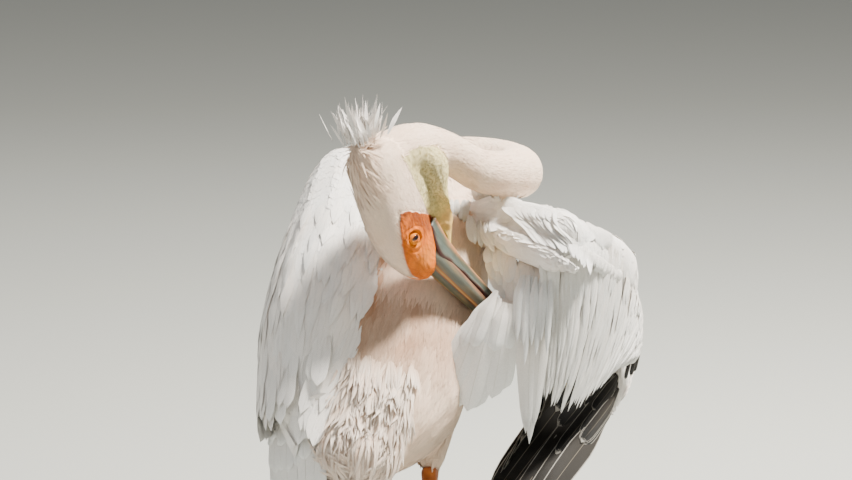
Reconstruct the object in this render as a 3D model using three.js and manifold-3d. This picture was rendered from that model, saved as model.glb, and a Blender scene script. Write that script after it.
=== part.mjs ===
// Great white pelican, standing and preening: life size, millimetres, +Z up, beak side of the trunk towards -Y.
// The neck is thrown round to the bird's right, the head is curled down and the right wing is held off the body.
import * as THREE from "three";
import Module from "manifold-3d";

const wasm = await Module();
wasm.setup();

// ---------- named dimensions ----------
const GAP = 0.4; // clearance left between neighbouring pieces
const SLIVER = 0.08; // detail finer than this is dropped after a cut
const TRUNK_HALF_WIDTH = 122;
const TRUNK_HALF_DEPTH = 116;
const TRUNK_FRONT = v(0, -178, 486);
const TRUNK_REAR = v(0, 168, 174);
const NECK_RADIUS = 40;
const NECK_THIN = 31;
const BILL_LENGTH = 335;
const BILL_HALF_WIDTH = 20;
const EYE_RADIUS = 8;
const ARM_HALF_DEPTH = 36;
const PRIMARY_COUNT = 10;
const SECONDARY_COUNT = 8;
const TAIL_COUNT = 8; // pairs of tail feathers lie so close that each pair reads as one
const FEATHER_TIP_THICK = 1.6;
const TARSUS_HALF_WIDTH = 8;
const TOE_LENGTHS = [44, 82, 104, 98]; // hind, inner, middle, outer
const CLAW_LENGTH = 12;

// Places of the joints.
const BILL_BASE = v(-80, 96, 432);
const SHOULDER = v(-76, -112, 444);
const ELBOW = v(-264, 58, 452);
const WRIST = v(-276, -194, 344);
const HAND_MID = v(-280, -176, 280);
const HAND_TIP = v(-284, -142, 210);

// Directions of the head: along the bill, towards the crown, towards the bird's own left.
const ALONG = v(-0.458, -0.5425, -0.703).normalize();
const LEFTWARD = v(-0.848, 0.502, 0.165).normalize();
const CROWNWARD = ALONG.clone().cross(LEFTWARD).normalize();

// Materials by kind of surface: colour, roughness.
const SURFACES = {
  white_plumage: [0xe9e4dc, 0.85],
  rosy_plumage: [0xe8d5c8, 0.85],
  flight_plumage: [0x26282a, 0.6],
  gular_skin: [0xd9cf92, 0.7],
  leg_skin: [0xb5702f, 0.7],
  bill_horn: [0x8d9a96, 0.45],
  claw_horn: [0x8a6a3c, 0.5],
  eye_gloss: [0x2a1512, 0.15],
};

function v(x, y, z) {
  return new THREE.Vector3(x, y, z);
}

// ---------- solids ----------

// A closed solid from points and triangles, turned to face out.
function solid(points, triangles) {
  const vertProperties = new Float32Array(points.flatMap((p) => [p.x, p.y, p.z]));
  const make = (list) =>
    new wasm.Manifold(new wasm.Mesh({ numProp: 3, vertProperties, triVerts: new Uint32Array(list) }));
  const made = make(triangles);
  return made.volume() >= 0 ? made : make(triangles.slice().reverse());
}

// A closed solid through rings of equal count, each end closed on its own middle.
function throughRings(rings) {
  const sides = rings[0].length;
  const points = rings.flat();
  const triangles = [];
  for (let i = 0; i + 1 < rings.length; i++) {
    for (let k = 0; k < sides; k++) {
      const a = i * sides + k;
      const b = i * sides + ((k + 1) % sides);
      triangles.push(a, b, b + sides, a, b + sides, a + sides);
    }
  }
  const last = (rings.length - 1) * sides;
  const middle = (ring) => ring.reduce((m, p) => m.add(p), v(0, 0, 0)).divideScalar(sides);
  points.push(middle(rings[0]), middle(rings[rings.length - 1]));
  for (let k = 0; k < sides; k++) {
    const next = (k + 1) % sides;
    triangles.push(points.length - 2, next, k);
    triangles.push(points.length - 1, last + k, last + next);
  }
  return solid(points, triangles);
}

// A smooth run of values through the given list, read at t from 0 to 1.
function run(list) {
  return new THREE.CatmullRomCurve3(list, false, "catmullrom", 0.5);
}

// A fleshy length: oval rings along a smooth spine. Each station is [place, half width, half height above, below].
// "above" is the side towards the given direction; the ends are rounded by dome0 and dome1 (0 is a flat end).
function limb(stations, above, options = {}) {
  const { sides = 16, rings = 12, dome0 = 0.5, dome1 = 0.5, from = 0, to = 1, grow = 0 } = options;
  const spine = run(stations.map((s) => s[0]));
  const sizes = run(stations.map((s) => v(s[1], s[2], s[3] ?? s[2])));
  const ups = Array.isArray(above) ? run(above) : null;
  const made = [];
  const ring = (t, scale, push) => {
    const along = spine.getTangent(t).normalize();
    const up = ups ? ups.getPoint(t) : above;
    const across = along.clone().cross(up).normalize();
    const top = across.clone().cross(along).normalize();
    const size = sizes.getPoint(t);
    const place = spine.getPoint(t).addScaledVector(along, push);
    const out = [];
    for (let k = 0; k < sides; k++) {
      const angle = (2 * Math.PI * (k + 0.5)) / sides;
      const rise = Math.sin(angle) * ((Math.sin(angle) > 0 ? size.y : size.z) + grow) * scale;
      const reach = Math.cos(angle) * (size.x + grow) * scale;
      out.push(place.clone().addScaledVector(across, reach).addScaledVector(top, rise));
    }
    return out;
  };
  const radius = (t) => {
    const size = sizes.getPoint(t);
    return Math.min(size.x, (size.y + size.z) / 2);
  };
  if (dome0 > 0) {
    made.push(ring(from, 0.45, -radius(from) * dome0 * 0.9 - grow));
    made.push(ring(from, 0.82, -radius(from) * dome0 * 0.55 - grow));
  } else if (grow > 0) {
    made.push(ring(from, 1, -grow));
  }
  for (let i = 0; i <= rings; i++) made.push(ring(from + ((to - from) * i) / rings, 1, 0));
  if (dome1 > 0) {
    made.push(ring(to, 0.82, radius(to) * dome1 * 0.55 + grow));
    made.push(ring(to, 0.45, radius(to) * dome1 * 0.9 + grow));
  } else if (grow > 0) {
    made.push(ring(to, 1, grow));
  }
  return throughRings(made);
}

// Two matching grids of places, front and rear, closed all round their rim.
function slab(front, rear, cols, rows) {
  const w = rows + 1;
  const n = front.length;
  const triangles = [];
  const quad = (a, b, c, d) => triangles.push(a, b, c, a, c, d);
  for (let c = 0; c < cols; c++) {
    for (let r = 0; r < rows; r++) {
      const a = c * w + r;
      quad(a, a + 1, a + w + 1, a + w);
      quad(n + a, n + a + w, n + a + w + 1, n + a + 1);
    }
    quad(c * w, (c + 1) * w, n + (c + 1) * w, n + c * w);
    quad(c * w + rows, n + c * w + rows, n + (c + 1) * w + rows, (c + 1) * w + rows);
  }
  for (let r = 0; r < rows; r++) {
    const a = cols * w + r;
    quad(r, n + r, n + r + 1, r + 1);
    quad(a, a + 1, n + a + 1, n + a);
  }
  return solid(front.concat(rear), triangles);
}

// A fan of overlapping feathers as one stepped slab. Roots and tips are smooth runs of places; "face" is the
// side the slab looks to; notch is how far the gap between two feathers cuts back from their tips.
function fan(roots, tips, options = {}) {
  const { count = 8, rows = 4, notch = 0.08, thick = 6, bulge = 0, face, step = 0.8, grow = 0 } = options;
  const rootRun = run(roots);
  const tipRun = run(tips);
  const cols = 2 * count;
  const front = [];
  const rear = [];
  for (let c = 0; c <= cols; c++) {
    const s = c / cols;
    const root = rootRun.getPoint(s);
    const full = tipRun.getPoint(s).sub(root);
    const back = c % 2 === 0 ? notch : 0;
    const lift = c % 2 === 0 ? -step : step;
    const push = full.clone().normalize();
    let normal = face;
    for (let r = 0; r <= rows; r++) {
      const t = (r / rows) * (1 - back);
      const place = root.clone().addScaledVector(full, t);
      const before = normal;
      const across = rootRun.getTangent(s).lerp(tipRun.getTangent(s), t);
      normal = across.clone().cross(full).normalize();
      if (normal.dot(before) < 0) normal.negate();
      place.addScaledVector(across.normalize(), c === cols ? grow : c === 0 ? -grow : 0);
      place.addScaledVector(normal, bulge * Math.sin(Math.PI * Math.min(1, t * 0.85 + 0.08)) + lift * t);
      if (r === 0) place.addScaledVector(push, -grow);
      if (r === rows) place.addScaledVector(push, grow);
      const half = (thick * (1 - t) + FEATHER_TIP_THICK * t) / 2 + grow;
      front.push(place.clone().addScaledVector(normal, half));
      rear.push(place.clone().addScaledVector(normal, -half));
    }
  }
  return slab(front, rear, cols, rows);
}

// The largest single body of a solid, so that a cut leaves no crumbs; slivers along the cut are smoothed away.
function whole(made) {
  const bodies = made.decompose().sort((a, b) => b.volume() - a.volume());
  return bodies[0].simplify(SLIVER);
}

// One solid with the others cut out of it.
function cut(made, ...others) {
  return whole(others.reduce((rest, other) => rest.subtract(other), made));
}

// A place in the head's own directions, measured from the middle of the bill's base.
function inHead(along, crown, left = 0) {
  return BILL_BASE.clone()
    .addScaledVector(ALONG, along)
    .addScaledVector(CROWNWARD, crown)
    .addScaledVector(LEFTWARD, left);
}

// ---------- trunk ----------

const BACK = v(0, 0.67, 0.743); // square to the trunk's length, out through the middle of the back

// Stations: share of the way from front to rear, lift of the middle, half width, half depth above and below.
const TRUNK = [
  [0, 0, 0.52, 0.5, 0.55],
  [0.2, 0, 0.85, 0.8, 0.85],
  [0.42, 0, 1, 0.95, 1],
  [0.66, 0, 1.05, 0.92, 1],
  [0.86, 6, 1.02, 0.74, 0.99],
  [1.06, 16, 0.54, 0.4, 0.52],
].map(([share, lift, wide, above, below]) => [
  TRUNK_FRONT.clone().lerp(TRUNK_REAR, share).addScaledVector(BACK, lift),
  wide * TRUNK_HALF_WIDTH,
  above * TRUNK_HALF_DEPTH,
  below * TRUNK_HALF_DEPTH,
]);

const trunk = (grow = 0) => limb(TRUNK, BACK, { sides: 18, rings: 9, dome0: 0.7, dome1: 0.8, grow });

// A place on the trunk's surface: u runs front to rear, degrees go round from the mid back to the bird's left.
const onTrunk = (u, degrees, out) => {
  const place = run(TRUNK.map((station) => station[0])).getPoint(u);
  const size = run(TRUNK.map((station) => v(station[1], station[2], station[3]))).getPoint(u);
  const angle = THREE.MathUtils.degToRad(degrees);
  const rise = (Math.cos(angle) > 0 ? size.y : size.z) + out;
  return place
    .add(v(1, 0, 0).multiplyScalar(Math.sin(angle) * (size.x + out)))
    .addScaledVector(BACK, Math.cos(angle) * rise);
};

// ---------- neck ----------

const NECK = [
  [v(0, -150, 476), NECK_RADIUS * 1.35],
  [v(14, -196, 494), NECK_RADIUS * 1.15],
  [v(-35, -220, 503), NECK_RADIUS],
  [v(-92, -203, 505), NECK_RADIUS * 0.96],
  [v(-132, -150, 506), NECK_RADIUS * 0.93],
  [v(-143, -74, 514), NECK_THIN * 1.1],
  [v(-116, -10, 527), NECK_THIN * 0.98],
  [v(-82, 34, 557), NECK_THIN * 0.94],
  [v(-52, 92, 568), NECK_THIN * 1.22],
  [v(-22, 140, 552), NECK_RADIUS],
];

const neck = (from, to, rings, grow = 0) =>
  limb(
    NECK.map(([place, r]) => [place, r, r]),
    v(0, 0, 1),
    { sides: 14, rings, from, to, grow, dome0: 0, dome1: 0 },
  );

// ---------- head ----------

const head = (grow = 0) =>
  limb(
    [
      [inHead(-150, -32), 37, 42, 42],
      [inHead(-114, -12), 40, 47, 48],
      [inHead(-82, 6), 39, 49, 48],
      [inHead(-50, 17), 36, 48, 42],
      [inHead(-24, 26), 31, 38, 36],
      [inHead(-2, 28), 23, 25, 27],
      [inHead(9, 30), 13, 15, 14],
    ],
    CROWNWARD,
    { sides: 14, rings: 8, dome0: 0.8, dome1: 0.5, grow },
  );

// Shaggy nape plumes, standing up as the head hangs.
const crest = () => {
  const COUNT = 6;
  const LENGTH = 40;
  const plumes = [];
  for (let i = 0; i < COUNT; i++) {
    const s = (2 * i) / (COUNT - 1) - 1;
    const root = inHead(-190 + 8 * s, -38 - 22 * s, 8 * Math.cos(4 * i));
    const lean = v(-0.66 * s, 0.1 - 0.2 * s, 0.86).normalize();
    const tip = root.clone().addScaledVector(lean, LENGTH * (1.2 - 0.25 * Math.cos(5 * i)));
    const middle = root.clone().lerp(tip, 0.5);
    const sizes = [[root, 7, 7], [middle, 4, 4], [tip, 0.9, 0.9]];
    plumes.push(limb(sizes, v(0, 1, 0.1), { sides: 3, rings: 1, dome0: 0, dome1: 0 }));
  }
  const base = [[inHead(-190, -14), 12, 9], [inHead(-186, -38), 16, 12], [inHead(-176, -62), 12, 9]];
  const pad = limb(base, ALONG.clone().negate(), { sides: 6, rings: 2 });
  return plumes.reduce((all, plume) => all.add(plume), pad);
};

// Upper mandible: flat and long, a low ridge down the middle, hooked nail at the tip.
const upperBill = (grow = 0) =>
  limb(
    [
      [inHead(-4, 12), BILL_HALF_WIDTH, 11, 7],
      [inHead(30, 9), BILL_HALF_WIDTH * 0.98, 9, 6],
      [inHead(90, 6), BILL_HALF_WIDTH * 0.86, 7, 5],
      [inHead(180, 3), BILL_HALF_WIDTH * 0.76, 5, 4],
      [inHead(270, 1), BILL_HALF_WIDTH * 0.8, 4, 4],
      [inHead(BILL_LENGTH - 20, 0), BILL_HALF_WIDTH * 0.72, 4, 4],
      [inHead(BILL_LENGTH - 4, -4), BILL_HALF_WIDTH * 0.32, 3.4, 4],
      [inHead(BILL_LENGTH, -12), BILL_HALF_WIDTH * 0.16, 2, 2],
    ],
    CROWNWARD,
    { sides: 10, rings: 9, dome0: 0, dome1: 0.4, grow },
  );

// Lower mandible: two slender rami joined at the tip.
const lowerBill = (grow = 0) => {
  const ramus = (side) =>
    limb(
      [
        [inHead(-38, -20, side * 22), 4, 7],
        [inHead(-4, -9, side * 20.5), 4.5, 10],
        [inHead(34, -5, side * 17), 4, 7],
        [inHead(110, -5, side * 13), 3.4, 5],
        [inHead(230, -6.5, side * 11), 3, 4],
        [inHead(BILL_LENGTH - 34, -8, side * 6), 3, 3],
        [inHead(BILL_LENGTH - 18, -8, side * 1), 3, 3],
      ],
      CROWNWARD,
      { sides: 6, rings: 8, dome0: 0, dome1: 0, grow },
    );
  return ramus(1).add(ramus(-1));
};

// Pouch: loose bare skin from the throat, hung between the two rami.
const pouch = (grow = 0) =>
  limb(
    [
      [inHead(-104, -80, 20), 18, 18, 18],
      [inHead(-76, -82, 22), 25, 26, 20],
      [inHead(-48, -68, 16), 26, 22, 16],
      [inHead(-20, -46, 6), 18, 18, 13],
      [inHead(0, -36), 16, 16, 12],
      [inHead(34, -20), 13, 9, 9],
      [inHead(100, -15), 11, 6, 9],
      [inHead(180, -12.5), 9, 4, 7],
      [inHead(260, -11.5), 8, 3, 4],
      [inHead(BILL_LENGTH - 44, -11), 3, 2, 2],
    ],
    CROWNWARD,
    { sides: 10, rings: 9, dome0: 0.6, dome1: 0.5, grow },
  );

const eye = (side, grow = 0) => {
  const place = inHead(-56, 28, side * 30);
  const ball = new THREE.SphereGeometry(EYE_RADIUS + grow, 8, 6);
  return fromGeometry(ball, place);
};

// A three.js geometry as a solid, moved to its place.
function fromGeometry(geometry, place) {
  const index = geometry.index.array;
  const position = geometry.attributes.position;
  const keys = new Map();
  const points = [];
  const remap = [];
  for (let i = 0; i < position.count; i++) {
    const p = v(position.getX(i), position.getY(i), position.getZ(i)).add(place);
    const key = [p.x, p.y, p.z].map((q) => q.toFixed(3)).join();
    if (!keys.has(key)) {
      keys.set(key, points.length);
      points.push(p);
    }
    remap.push(keys.get(key));
  }
  const triangles = [];
  for (let i = 0; i < index.length; i += 3) {
    const [a, b, c] = [remap[index[i]], remap[index[i + 1]], remap[index[i + 2]]];
    if (a !== b && b !== c && c !== a) triangles.push(a, b, c);
  }
  return solid(points, triangles);
}

// ---------- right wing, held off the body ----------

const BACKWARD = v(-0.27, 0.95, 0.16).normalize();

const upperArm = (grow = 0) =>
  limb(
    [
      [SHOULDER, 24, 34],
      [v(-128, -66, 448), 25, 35],
      [v(-196, 4, 454), 24, 35],
      [ELBOW, 24, 33],
    ],
    v(0, 0, 1),
    { sides: 12, rings: 5, dome0: 0.5, dome1: 0.8, grow },
  );

const forearm = (grow = 0) =>
  limb(
    [
      [v(-275, 24, 436), 18, 33],
      [v(-288, -60, 404), 17, 36],
      [v(-292, -138, 366), 17, 38],
      [WRIST, 17, 38],
    ],
    v(-0.15, 0.2, 1),
    { sides: 12, rings: 5, dome0: 0.4, dome1: 0, grow },
  );

const hand = (grow = 0, to = 1) =>
  limb(
    [
      [WRIST, 17, 38],
      [v(-277, -190, 316), 15, 34],
      [HAND_MID, 12, 29],
      [v(-284, -160, 246), 9, 23],
      [HAND_TIP, 6, 13],
      [v(-276, -118, 176), 3, 6],
    ],
    [v(0, -1, 0.4), v(-0.4, -1, 0), v(-0.4, -1, 0), v(-0.4, -1, 0), v(-0.4, -1, 0), v(-0.4, -1, 0)],
    { sides: 10, rings: 6, dome0: 0, dome1: 0.5, grow, to },
  );

// Skin and small coverts stretched between shoulder, elbow and wrist.
const patagium = (grow = 0) =>
  fan(
    [v(-96, -118, 452), v(-176, -158, 424), v(-246, -180, 386)],
    [v(-120, -84, 442), v(-200, -6, 440), v(-262, 6, 428)],
    { count: 2, rows: 4, notch: 0, thick: 13, face: v(0, 0, 1), step: 0, grow },
  );

const lobe = (grow = 0) =>
  limb(
    [
      [v(-119, -30, 440), 8, 14],
      [v(-160, 14, 436), 12, 20],
      [v(-205, 54, 430), 13, 22],
      [v(-250, 86, 422), 12, 18],
      [v(-283, 96, 415), 7, 9],
    ],
    v(0.1, 0.3, 1),
    { sides: 10, rings: 5, dome0: 0.6, dome1: 0.8, grow },
  );

const innerCoverts = (grow = 0) =>
  fan(
    [v(-130, -22, 424), v(-180, 26, 417), v(-228, 52, 408)],
    [v(-166, 52, 364), v(-195, 66, 330), v(-232, 66, 306)],
    { count: 4, rows: 4, notch: 0.08, thick: 8, face: BACKWARD, grow },
  );

const coverts = (grow = 0) =>
  fan(
    [v(-226, 72, 408), v(-286, 30, 405), v(-309, -60, 378), v(-308, -146, 330), v(-306, -144, 268)],
    [v(-232, 78, 228), v(-258, 46, 214), v(-280, 0, 226), v(-292, -52, 244), v(-296, -106, 250)],
    { count: 12, rows: 3, notch: 0.08, thick: 8, bulge: 6, face: BACKWARD, grow },
  );

const secondaries = (grow = 0) =>
  fan(
    [v(-240, 40, 360), v(-256, -40, 352), v(-258, -140, 318)],
    [v(-216, 58, 206), v(-193, 56, 170), v(-172, 54, 140), v(-156, 70, 106)],
    { count: SECONDARY_COUNT, rows: 3, notch: 0.05, thick: 5, face: BACKWARD, grow },
  );

const primaries = (grow = 0) =>
  fan(
    [v(-258, -162, 300), v(-274, -154, 250), v(-281, -134, 206)],
    [v(-157, 78, 100), v(-166, 128, 66), v(-200, 184, 52), v(-236, 228, 50)],
    { count: PRIMARY_COUNT, rows: 3, notch: 0.06, thick: 6, bulge: 8, face: BACKWARD, grow },
  );

const tertials = (grow = 0) =>
  fan(
    [v(-152, 84, 360), v(-172, 88, 368), v(-196, 84, 362)],
    [v(-84, 104, 258), v(-122, 108, 228), v(-150, 106, 218), v(-186, 96, 248)],
    { count: 4, rows: 4, notch: 0.1, thick: 9, bulge: 8, face: BACKWARD, grow },
  );

const longTertial = (grow = 0) =>
  fan(
    [v(-204, 92, 345), v(-221, 92, 350), v(-238, 90, 345)],
    [v(-212, 102, 192), v(-217, 102, 178), v(-224, 98, 192)],
    { count: 1, rows: 4, notch: 0.12, thick: 7, bulge: 3, face: BACKWARD, grow },
  );

// ---------- left wing, folded against the body ----------

// Folded wing and shoulder feathers, lying on the trunk from the mid back round to the lower flank.
// Stations: place along the trunk, upper edge and lower edge in degrees, greatest depth of plumage.
const FOLDED = [
  [0.01, 34, 96, 56],
  [0.05, 24, 102, 84],
  [0.16, 10, 110, 74],
  [0.34, -2, 116, 63],
  [0.54, -3, 116, 57],
  [0.74, 6, 108, 45],
  [0.93, 22, 97, 25],
];

const foldedWing = (grow = 0) => {
  const edges = run(FOLDED.map(([u, upper, lower]) => v(u, upper, lower)));
  const depths = run(FOLDED.map((station) => v(station[3], 0, 0)));
  const rows = 8;
  const cols = 8;
  const front = [];
  const rear = [];
  for (let c = 0; c <= cols; c++) {
    for (let r = 0; r <= rows; r++) {
      const edge = edges.getPoint(r / rows);
      const share = c / cols;
      const degrees = edge.y + (edge.z - edge.y) * share + (2 * share - 1) * grow;
      const swell = Math.sin(Math.PI * Math.pow(share, 0.9)) ** 0.8;
      const out = 3 + (depths.getPoint(r / rows).x - 3) * swell;
      const reach = (r === rows ? grow : r === 0 ? -grow : 0) / 300;
      front.push(onTrunk(edge.x + reach, degrees, out + grow));
      rear.push(onTrunk(edge.x + reach, degrees, -4 - grow));
    }
  }
  return slab(front, rear, cols, rows);
};

const foldedTertials = (grow = 0) =>
  fan(
    [v(48, 190, 240), v(96, 176, 214), v(138, 140, 196)],
    [v(34, 240, 118), v(76, 240, 94), v(114, 200, 104)],
    { count: 5, rows: 4, notch: 0.12, thick: 12, bulge: 6, face: v(0.6, 0.7, 0.3), grow },
  );

const foldedPrimaries = (grow = 0) =>
  fan(
    [v(60, 176, 170), v(92, 164, 150), v(120, 140, 140)],
    [v(30, 300, 62), v(54, 292, 46), v(92, 236, 50)],
    { count: 5, rows: 4, notch: 0.07, thick: 9, face: v(0.7, 0.6, -0.1), grow },
  );

// ---------- tail ----------

const tail = (grow = 0) =>
  fan(
    [v(34, 176, 150), v(0, 186, 158), v(-34, 176, 150)],
    [v(86, 282, 62), v(44, 318, 50), v(0, 330, 48), v(-44, 318, 50), v(-86, 282, 62)],
    { count: TAIL_COUNT, rows: 2, notch: 0.06, thick: 14, bulge: 2, face: v(0, 0.6, 0.8), grow },
  );

// ---------- legs ----------

// Each leg: feathered shank from inside the flank, bare tarsus, webbed foot with all four toes joined.
const LEGS = {
  right: { side: -1, knee: v(-62, 20, 212), ankle: v(-70, 72, 108), toe: v(-82, 34, 16) },
  left: { side: 1, knee: v(58, 20, 212), ankle: v(60, 72, 108), toe: v(70, 28, 16) },
};

const thigh = (leg, grow = 0) =>
  limb(
    [
      [leg.knee, 40, 52],
      [leg.knee.clone().lerp(leg.ankle, 0.45), 28, 34],
      [leg.knee.clone().lerp(leg.ankle, 0.8), 18, 20],
    ],
    v(0, -1, 0.4),
    { sides: 10, rings: 4, dome0: 0.4, dome1: 0.4, grow },
  );

const shank = (leg, grow = 0) =>
  limb(
    [
      [leg.knee.clone().lerp(leg.ankle, 0.82), 11, 12],
      [leg.ankle.clone().add(v(0, 0, 8)), 12, 14],
      [leg.ankle.clone().add(v(0, -6, -16)), 9, 12],
      [leg.ankle.clone().lerp(leg.toe, 0.6), TARSUS_HALF_WIDTH - 1, 11],
      [leg.toe.clone().add(v(0, 3, 16)), TARSUS_HALF_WIDTH, 11],
    ],
    v(0, -1, 0.3),
    { sides: 8, rings: 6, dome0: 0, dome1: 0, grow },
  );

// Angle of each toe from straight ahead, positive towards the other leg.
const TOE_ANGLES = [1.75, 0.42, 0.02, -0.36];
const TOE_OUT = 0.14;

const toeEnd = (leg, i, extra = 0) => {
  const heading = -Math.PI / 2 + leg.side * (TOE_OUT - TOE_ANGLES[i]);
  const reach = TOE_LENGTHS[i] + extra;
  return v(leg.toe.x + Math.cos(heading) * reach, leg.toe.y + Math.sin(heading) * reach, 0);
};

const foot = (leg) => {
  const root = v(leg.toe.x, leg.toe.y, 0);
  const order = [0, 1, 2, 3];
  const toes = order.map((i) => {
    const end = toeEnd(leg, i);
    const mid = root.clone().lerp(end, 0.5);
    return limb(
      [
        [root.clone().setZ(6), 8, 7.4],
        [mid.setZ(4.6), 6, 6],
        [end.clone().setZ(3.6), 4.8, 5],
      ],
      v(0, 0, 1),
      { sides: 6, rings: 1, dome0: 0, dome1: 0.5 },
    );
  });
  const outline = new THREE.Shape();
  const heel = root.clone().add(v(leg.side * 6, 12, 0));
  outline.moveTo(heel.x, heel.y);
  order.forEach((i) => {
    const end = toeEnd(leg, i, -6);
    if (i > 0) {
      const before = toeEnd(leg, i - 1, -6);
      const sag = before.clone().add(end).multiplyScalar(0.5).lerp(root, 0.16);
      outline.quadraticCurveTo(sag.x, sag.y, end.x, end.y);
    } else {
      outline.lineTo(end.x, end.y);
    }
  });
  outline.lineTo(root.x + leg.side * 8, root.y + 6);
  const web = new THREE.ExtrudeGeometry(outline, { depth: 3.2, bevelEnabled: false, curveSegments: 3 });
  const slab = fromGeometry(indexed(web), v(0, 0, 1.2));
  const joint = limb(
    [
      [root.clone().add(v(0, 0, 6)), 9, 13],
      [leg.toe.clone().add(v(0, 3, 15.4)), TARSUS_HALF_WIDTH, 11],
    ],
    v(0, -1, 0.05),
    { sides: 8, rings: 1, dome0: 0, dome1: 0 },
  );
  const all = toes.reduce((sum, toe) => sum.add(toe), slab).add(joint);
  return whole(all.trimByPlane([0, 0, 1], 0));
};

function indexed(geometry) {
  const count = geometry.attributes.position.count;
  geometry.setIndex([...Array(count).keys()]);
  return geometry;
}

const claw = (leg, i, grow = 0) => {
  const start = toeEnd(leg, i, 3.2).setZ(5.2);
  const tip = toeEnd(leg, i, 3.2 + CLAW_LENGTH).setZ(2.4);
  const mid = start.clone().lerp(tip, 0.55).setZ(5.4);
  return limb(
    [
      [start, 2.6, 2.8],
      [mid, 1.8, 2],
      [tip, 0.6, 0.6],
    ],
    v(0, 0, 1),
    { sides: 5, rings: 1, dome0: 0, dome1: 0, grow },
  );
};

// ---------- assembly ----------

const bird = new THREE.Group();
bird.name = "pelican";

function add(name, made, surface) {
  const mesh = made.getMesh();
  const stride = mesh.numProp;
  const positions = new Float32Array((mesh.vertProperties.length / stride) * 3);
  for (let i = 0; i < positions.length / 3; i++) {
    positions.set(mesh.vertProperties.subarray(i * stride, i * stride + 3), i * 3);
  }
  const geometry = new THREE.BufferGeometry();
  geometry.setAttribute("position", new THREE.BufferAttribute(positions, 3));
  geometry.setIndex(new THREE.BufferAttribute(new Uint32Array(mesh.triVerts), 1));
  geometry.computeVertexNormals();
  const [color, roughness] = SURFACES[surface];
  const material = new THREE.MeshStandardMaterial({ color, roughness, metalness: 0 });
  const node = new THREE.Mesh(geometry, material);
  node.name = name;
  bird.add(node);
}

const trunkCut = trunk(GAP);
const headCut = head(GAP);
const NECK_CUTS = [0.4, 0.68];
const NECK_SPLIT = 0.0009; // share of the spine left open between two neck lengths

add("trunk", cut(trunk(), upperBill(2), lowerBill(2)), "rosy_plumage");
const lowNeck = neck(0, NECK_CUTS[0], 8);
const bendNeck = neck(NECK_CUTS[0] + NECK_SPLIT, NECK_CUTS[1], 7);
const highNeck = neck(NECK_CUTS[1] + NECK_SPLIT, 1, 7);
add("neck_lower", cut(lowNeck, trunkCut, upperArm(GAP)), "rosy_plumage");
add("neck_bend", cut(bendNeck, trunkCut, upperArm(GAP)), "rosy_plumage");
add("neck_upper", cut(highNeck, headCut), "rosy_plumage");
const highNeckCut = neck(NECK_CUTS[1], 1, 7, GAP);
const horn = [upperBill(GAP), lowerBill(GAP)];
add("head", cut(head(), ...horn, eye(1, GAP), eye(-1, GAP)), "rosy_plumage");
add("crest", cut(crest(), highNeckCut, headCut), "white_plumage");
add("eye_left", eye(1), "eye_gloss");
add("eye_right", eye(-1), "eye_gloss");
add("upper_bill", upperBill(), "bill_horn");
add("lower_bill", cut(lowerBill(), upperBill(GAP)), "bill_horn");
add("pouch", cut(pouch(), headCut, highNeckCut, ...horn), "gular_skin");

// Each piece of the lifted wing is cut clear of the ones named before it.
const cleared = [trunkCut, ...horn];
for (const [name, make, surface] of [
  ["right_upper_arm", upperArm, "white_plumage"],
  ["right_forearm", forearm, "white_plumage"],
  ["right_hand", hand, "white_plumage"],
  ["right_patagium", patagium, "white_plumage"],
  ["right_shoulder_coverts", lobe, "white_plumage"],
  ["right_inner_coverts", innerCoverts, "white_plumage"],
  ["right_wing_coverts", coverts, "white_plumage"],
  ["right_tertials", tertials, "white_plumage"],
  ["right_long_tertial", longTertial, "white_plumage"],
  ["right_secondaries", secondaries, "flight_plumage"],
  ["right_primaries", primaries, "flight_plumage"],
]) {
  add(name, cut(make(), ...cleared), surface);
  cleared.push(make(GAP));
}

add("left_folded_wing", cut(foldedWing(), trunkCut), "white_plumage");
add("left_tertials", cut(foldedTertials(), trunkCut, foldedWing(GAP)), "white_plumage");
add("left_primaries", cut(foldedPrimaries(), trunkCut, foldedWing(GAP), foldedTertials(GAP)), "flight_plumage");
add("tail", cut(tail(), trunkCut, foldedWing(GAP), foldedTertials(GAP), foldedPrimaries(GAP)), "white_plumage");

for (const [name, leg] of Object.entries(LEGS)) {
  add(name + "_thigh", cut(thigh(leg), trunkCut), "rosy_plumage");
  add(name + "_shank", cut(shank(leg), thigh(leg, GAP), trunkCut), "leg_skin");
  add(name + "_foot", cut(foot(leg), shank(leg, GAP)), "leg_skin");
  for (let i = 0; i < 4; i++) {
    add(name + "_claw_" + ["hind", "inner", "middle", "outer"][i], cut(claw(leg, i), foot(leg)), "claw_horn");
  }
}

// The origin is put under the middle of the bird's outline, on the floor.
const outline = new THREE.Box3().setFromObject(bird);
const middle = outline.getCenter(v(0, 0, 0));
bird.position.set(-middle.x, -middle.y, -outline.min.z);

export default bird;
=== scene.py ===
import math
from types import SimpleNamespace

import bmesh
import bpy
import numpy as np
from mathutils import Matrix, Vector, noise
from mathutils.bvhtree import BVHTree


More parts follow.
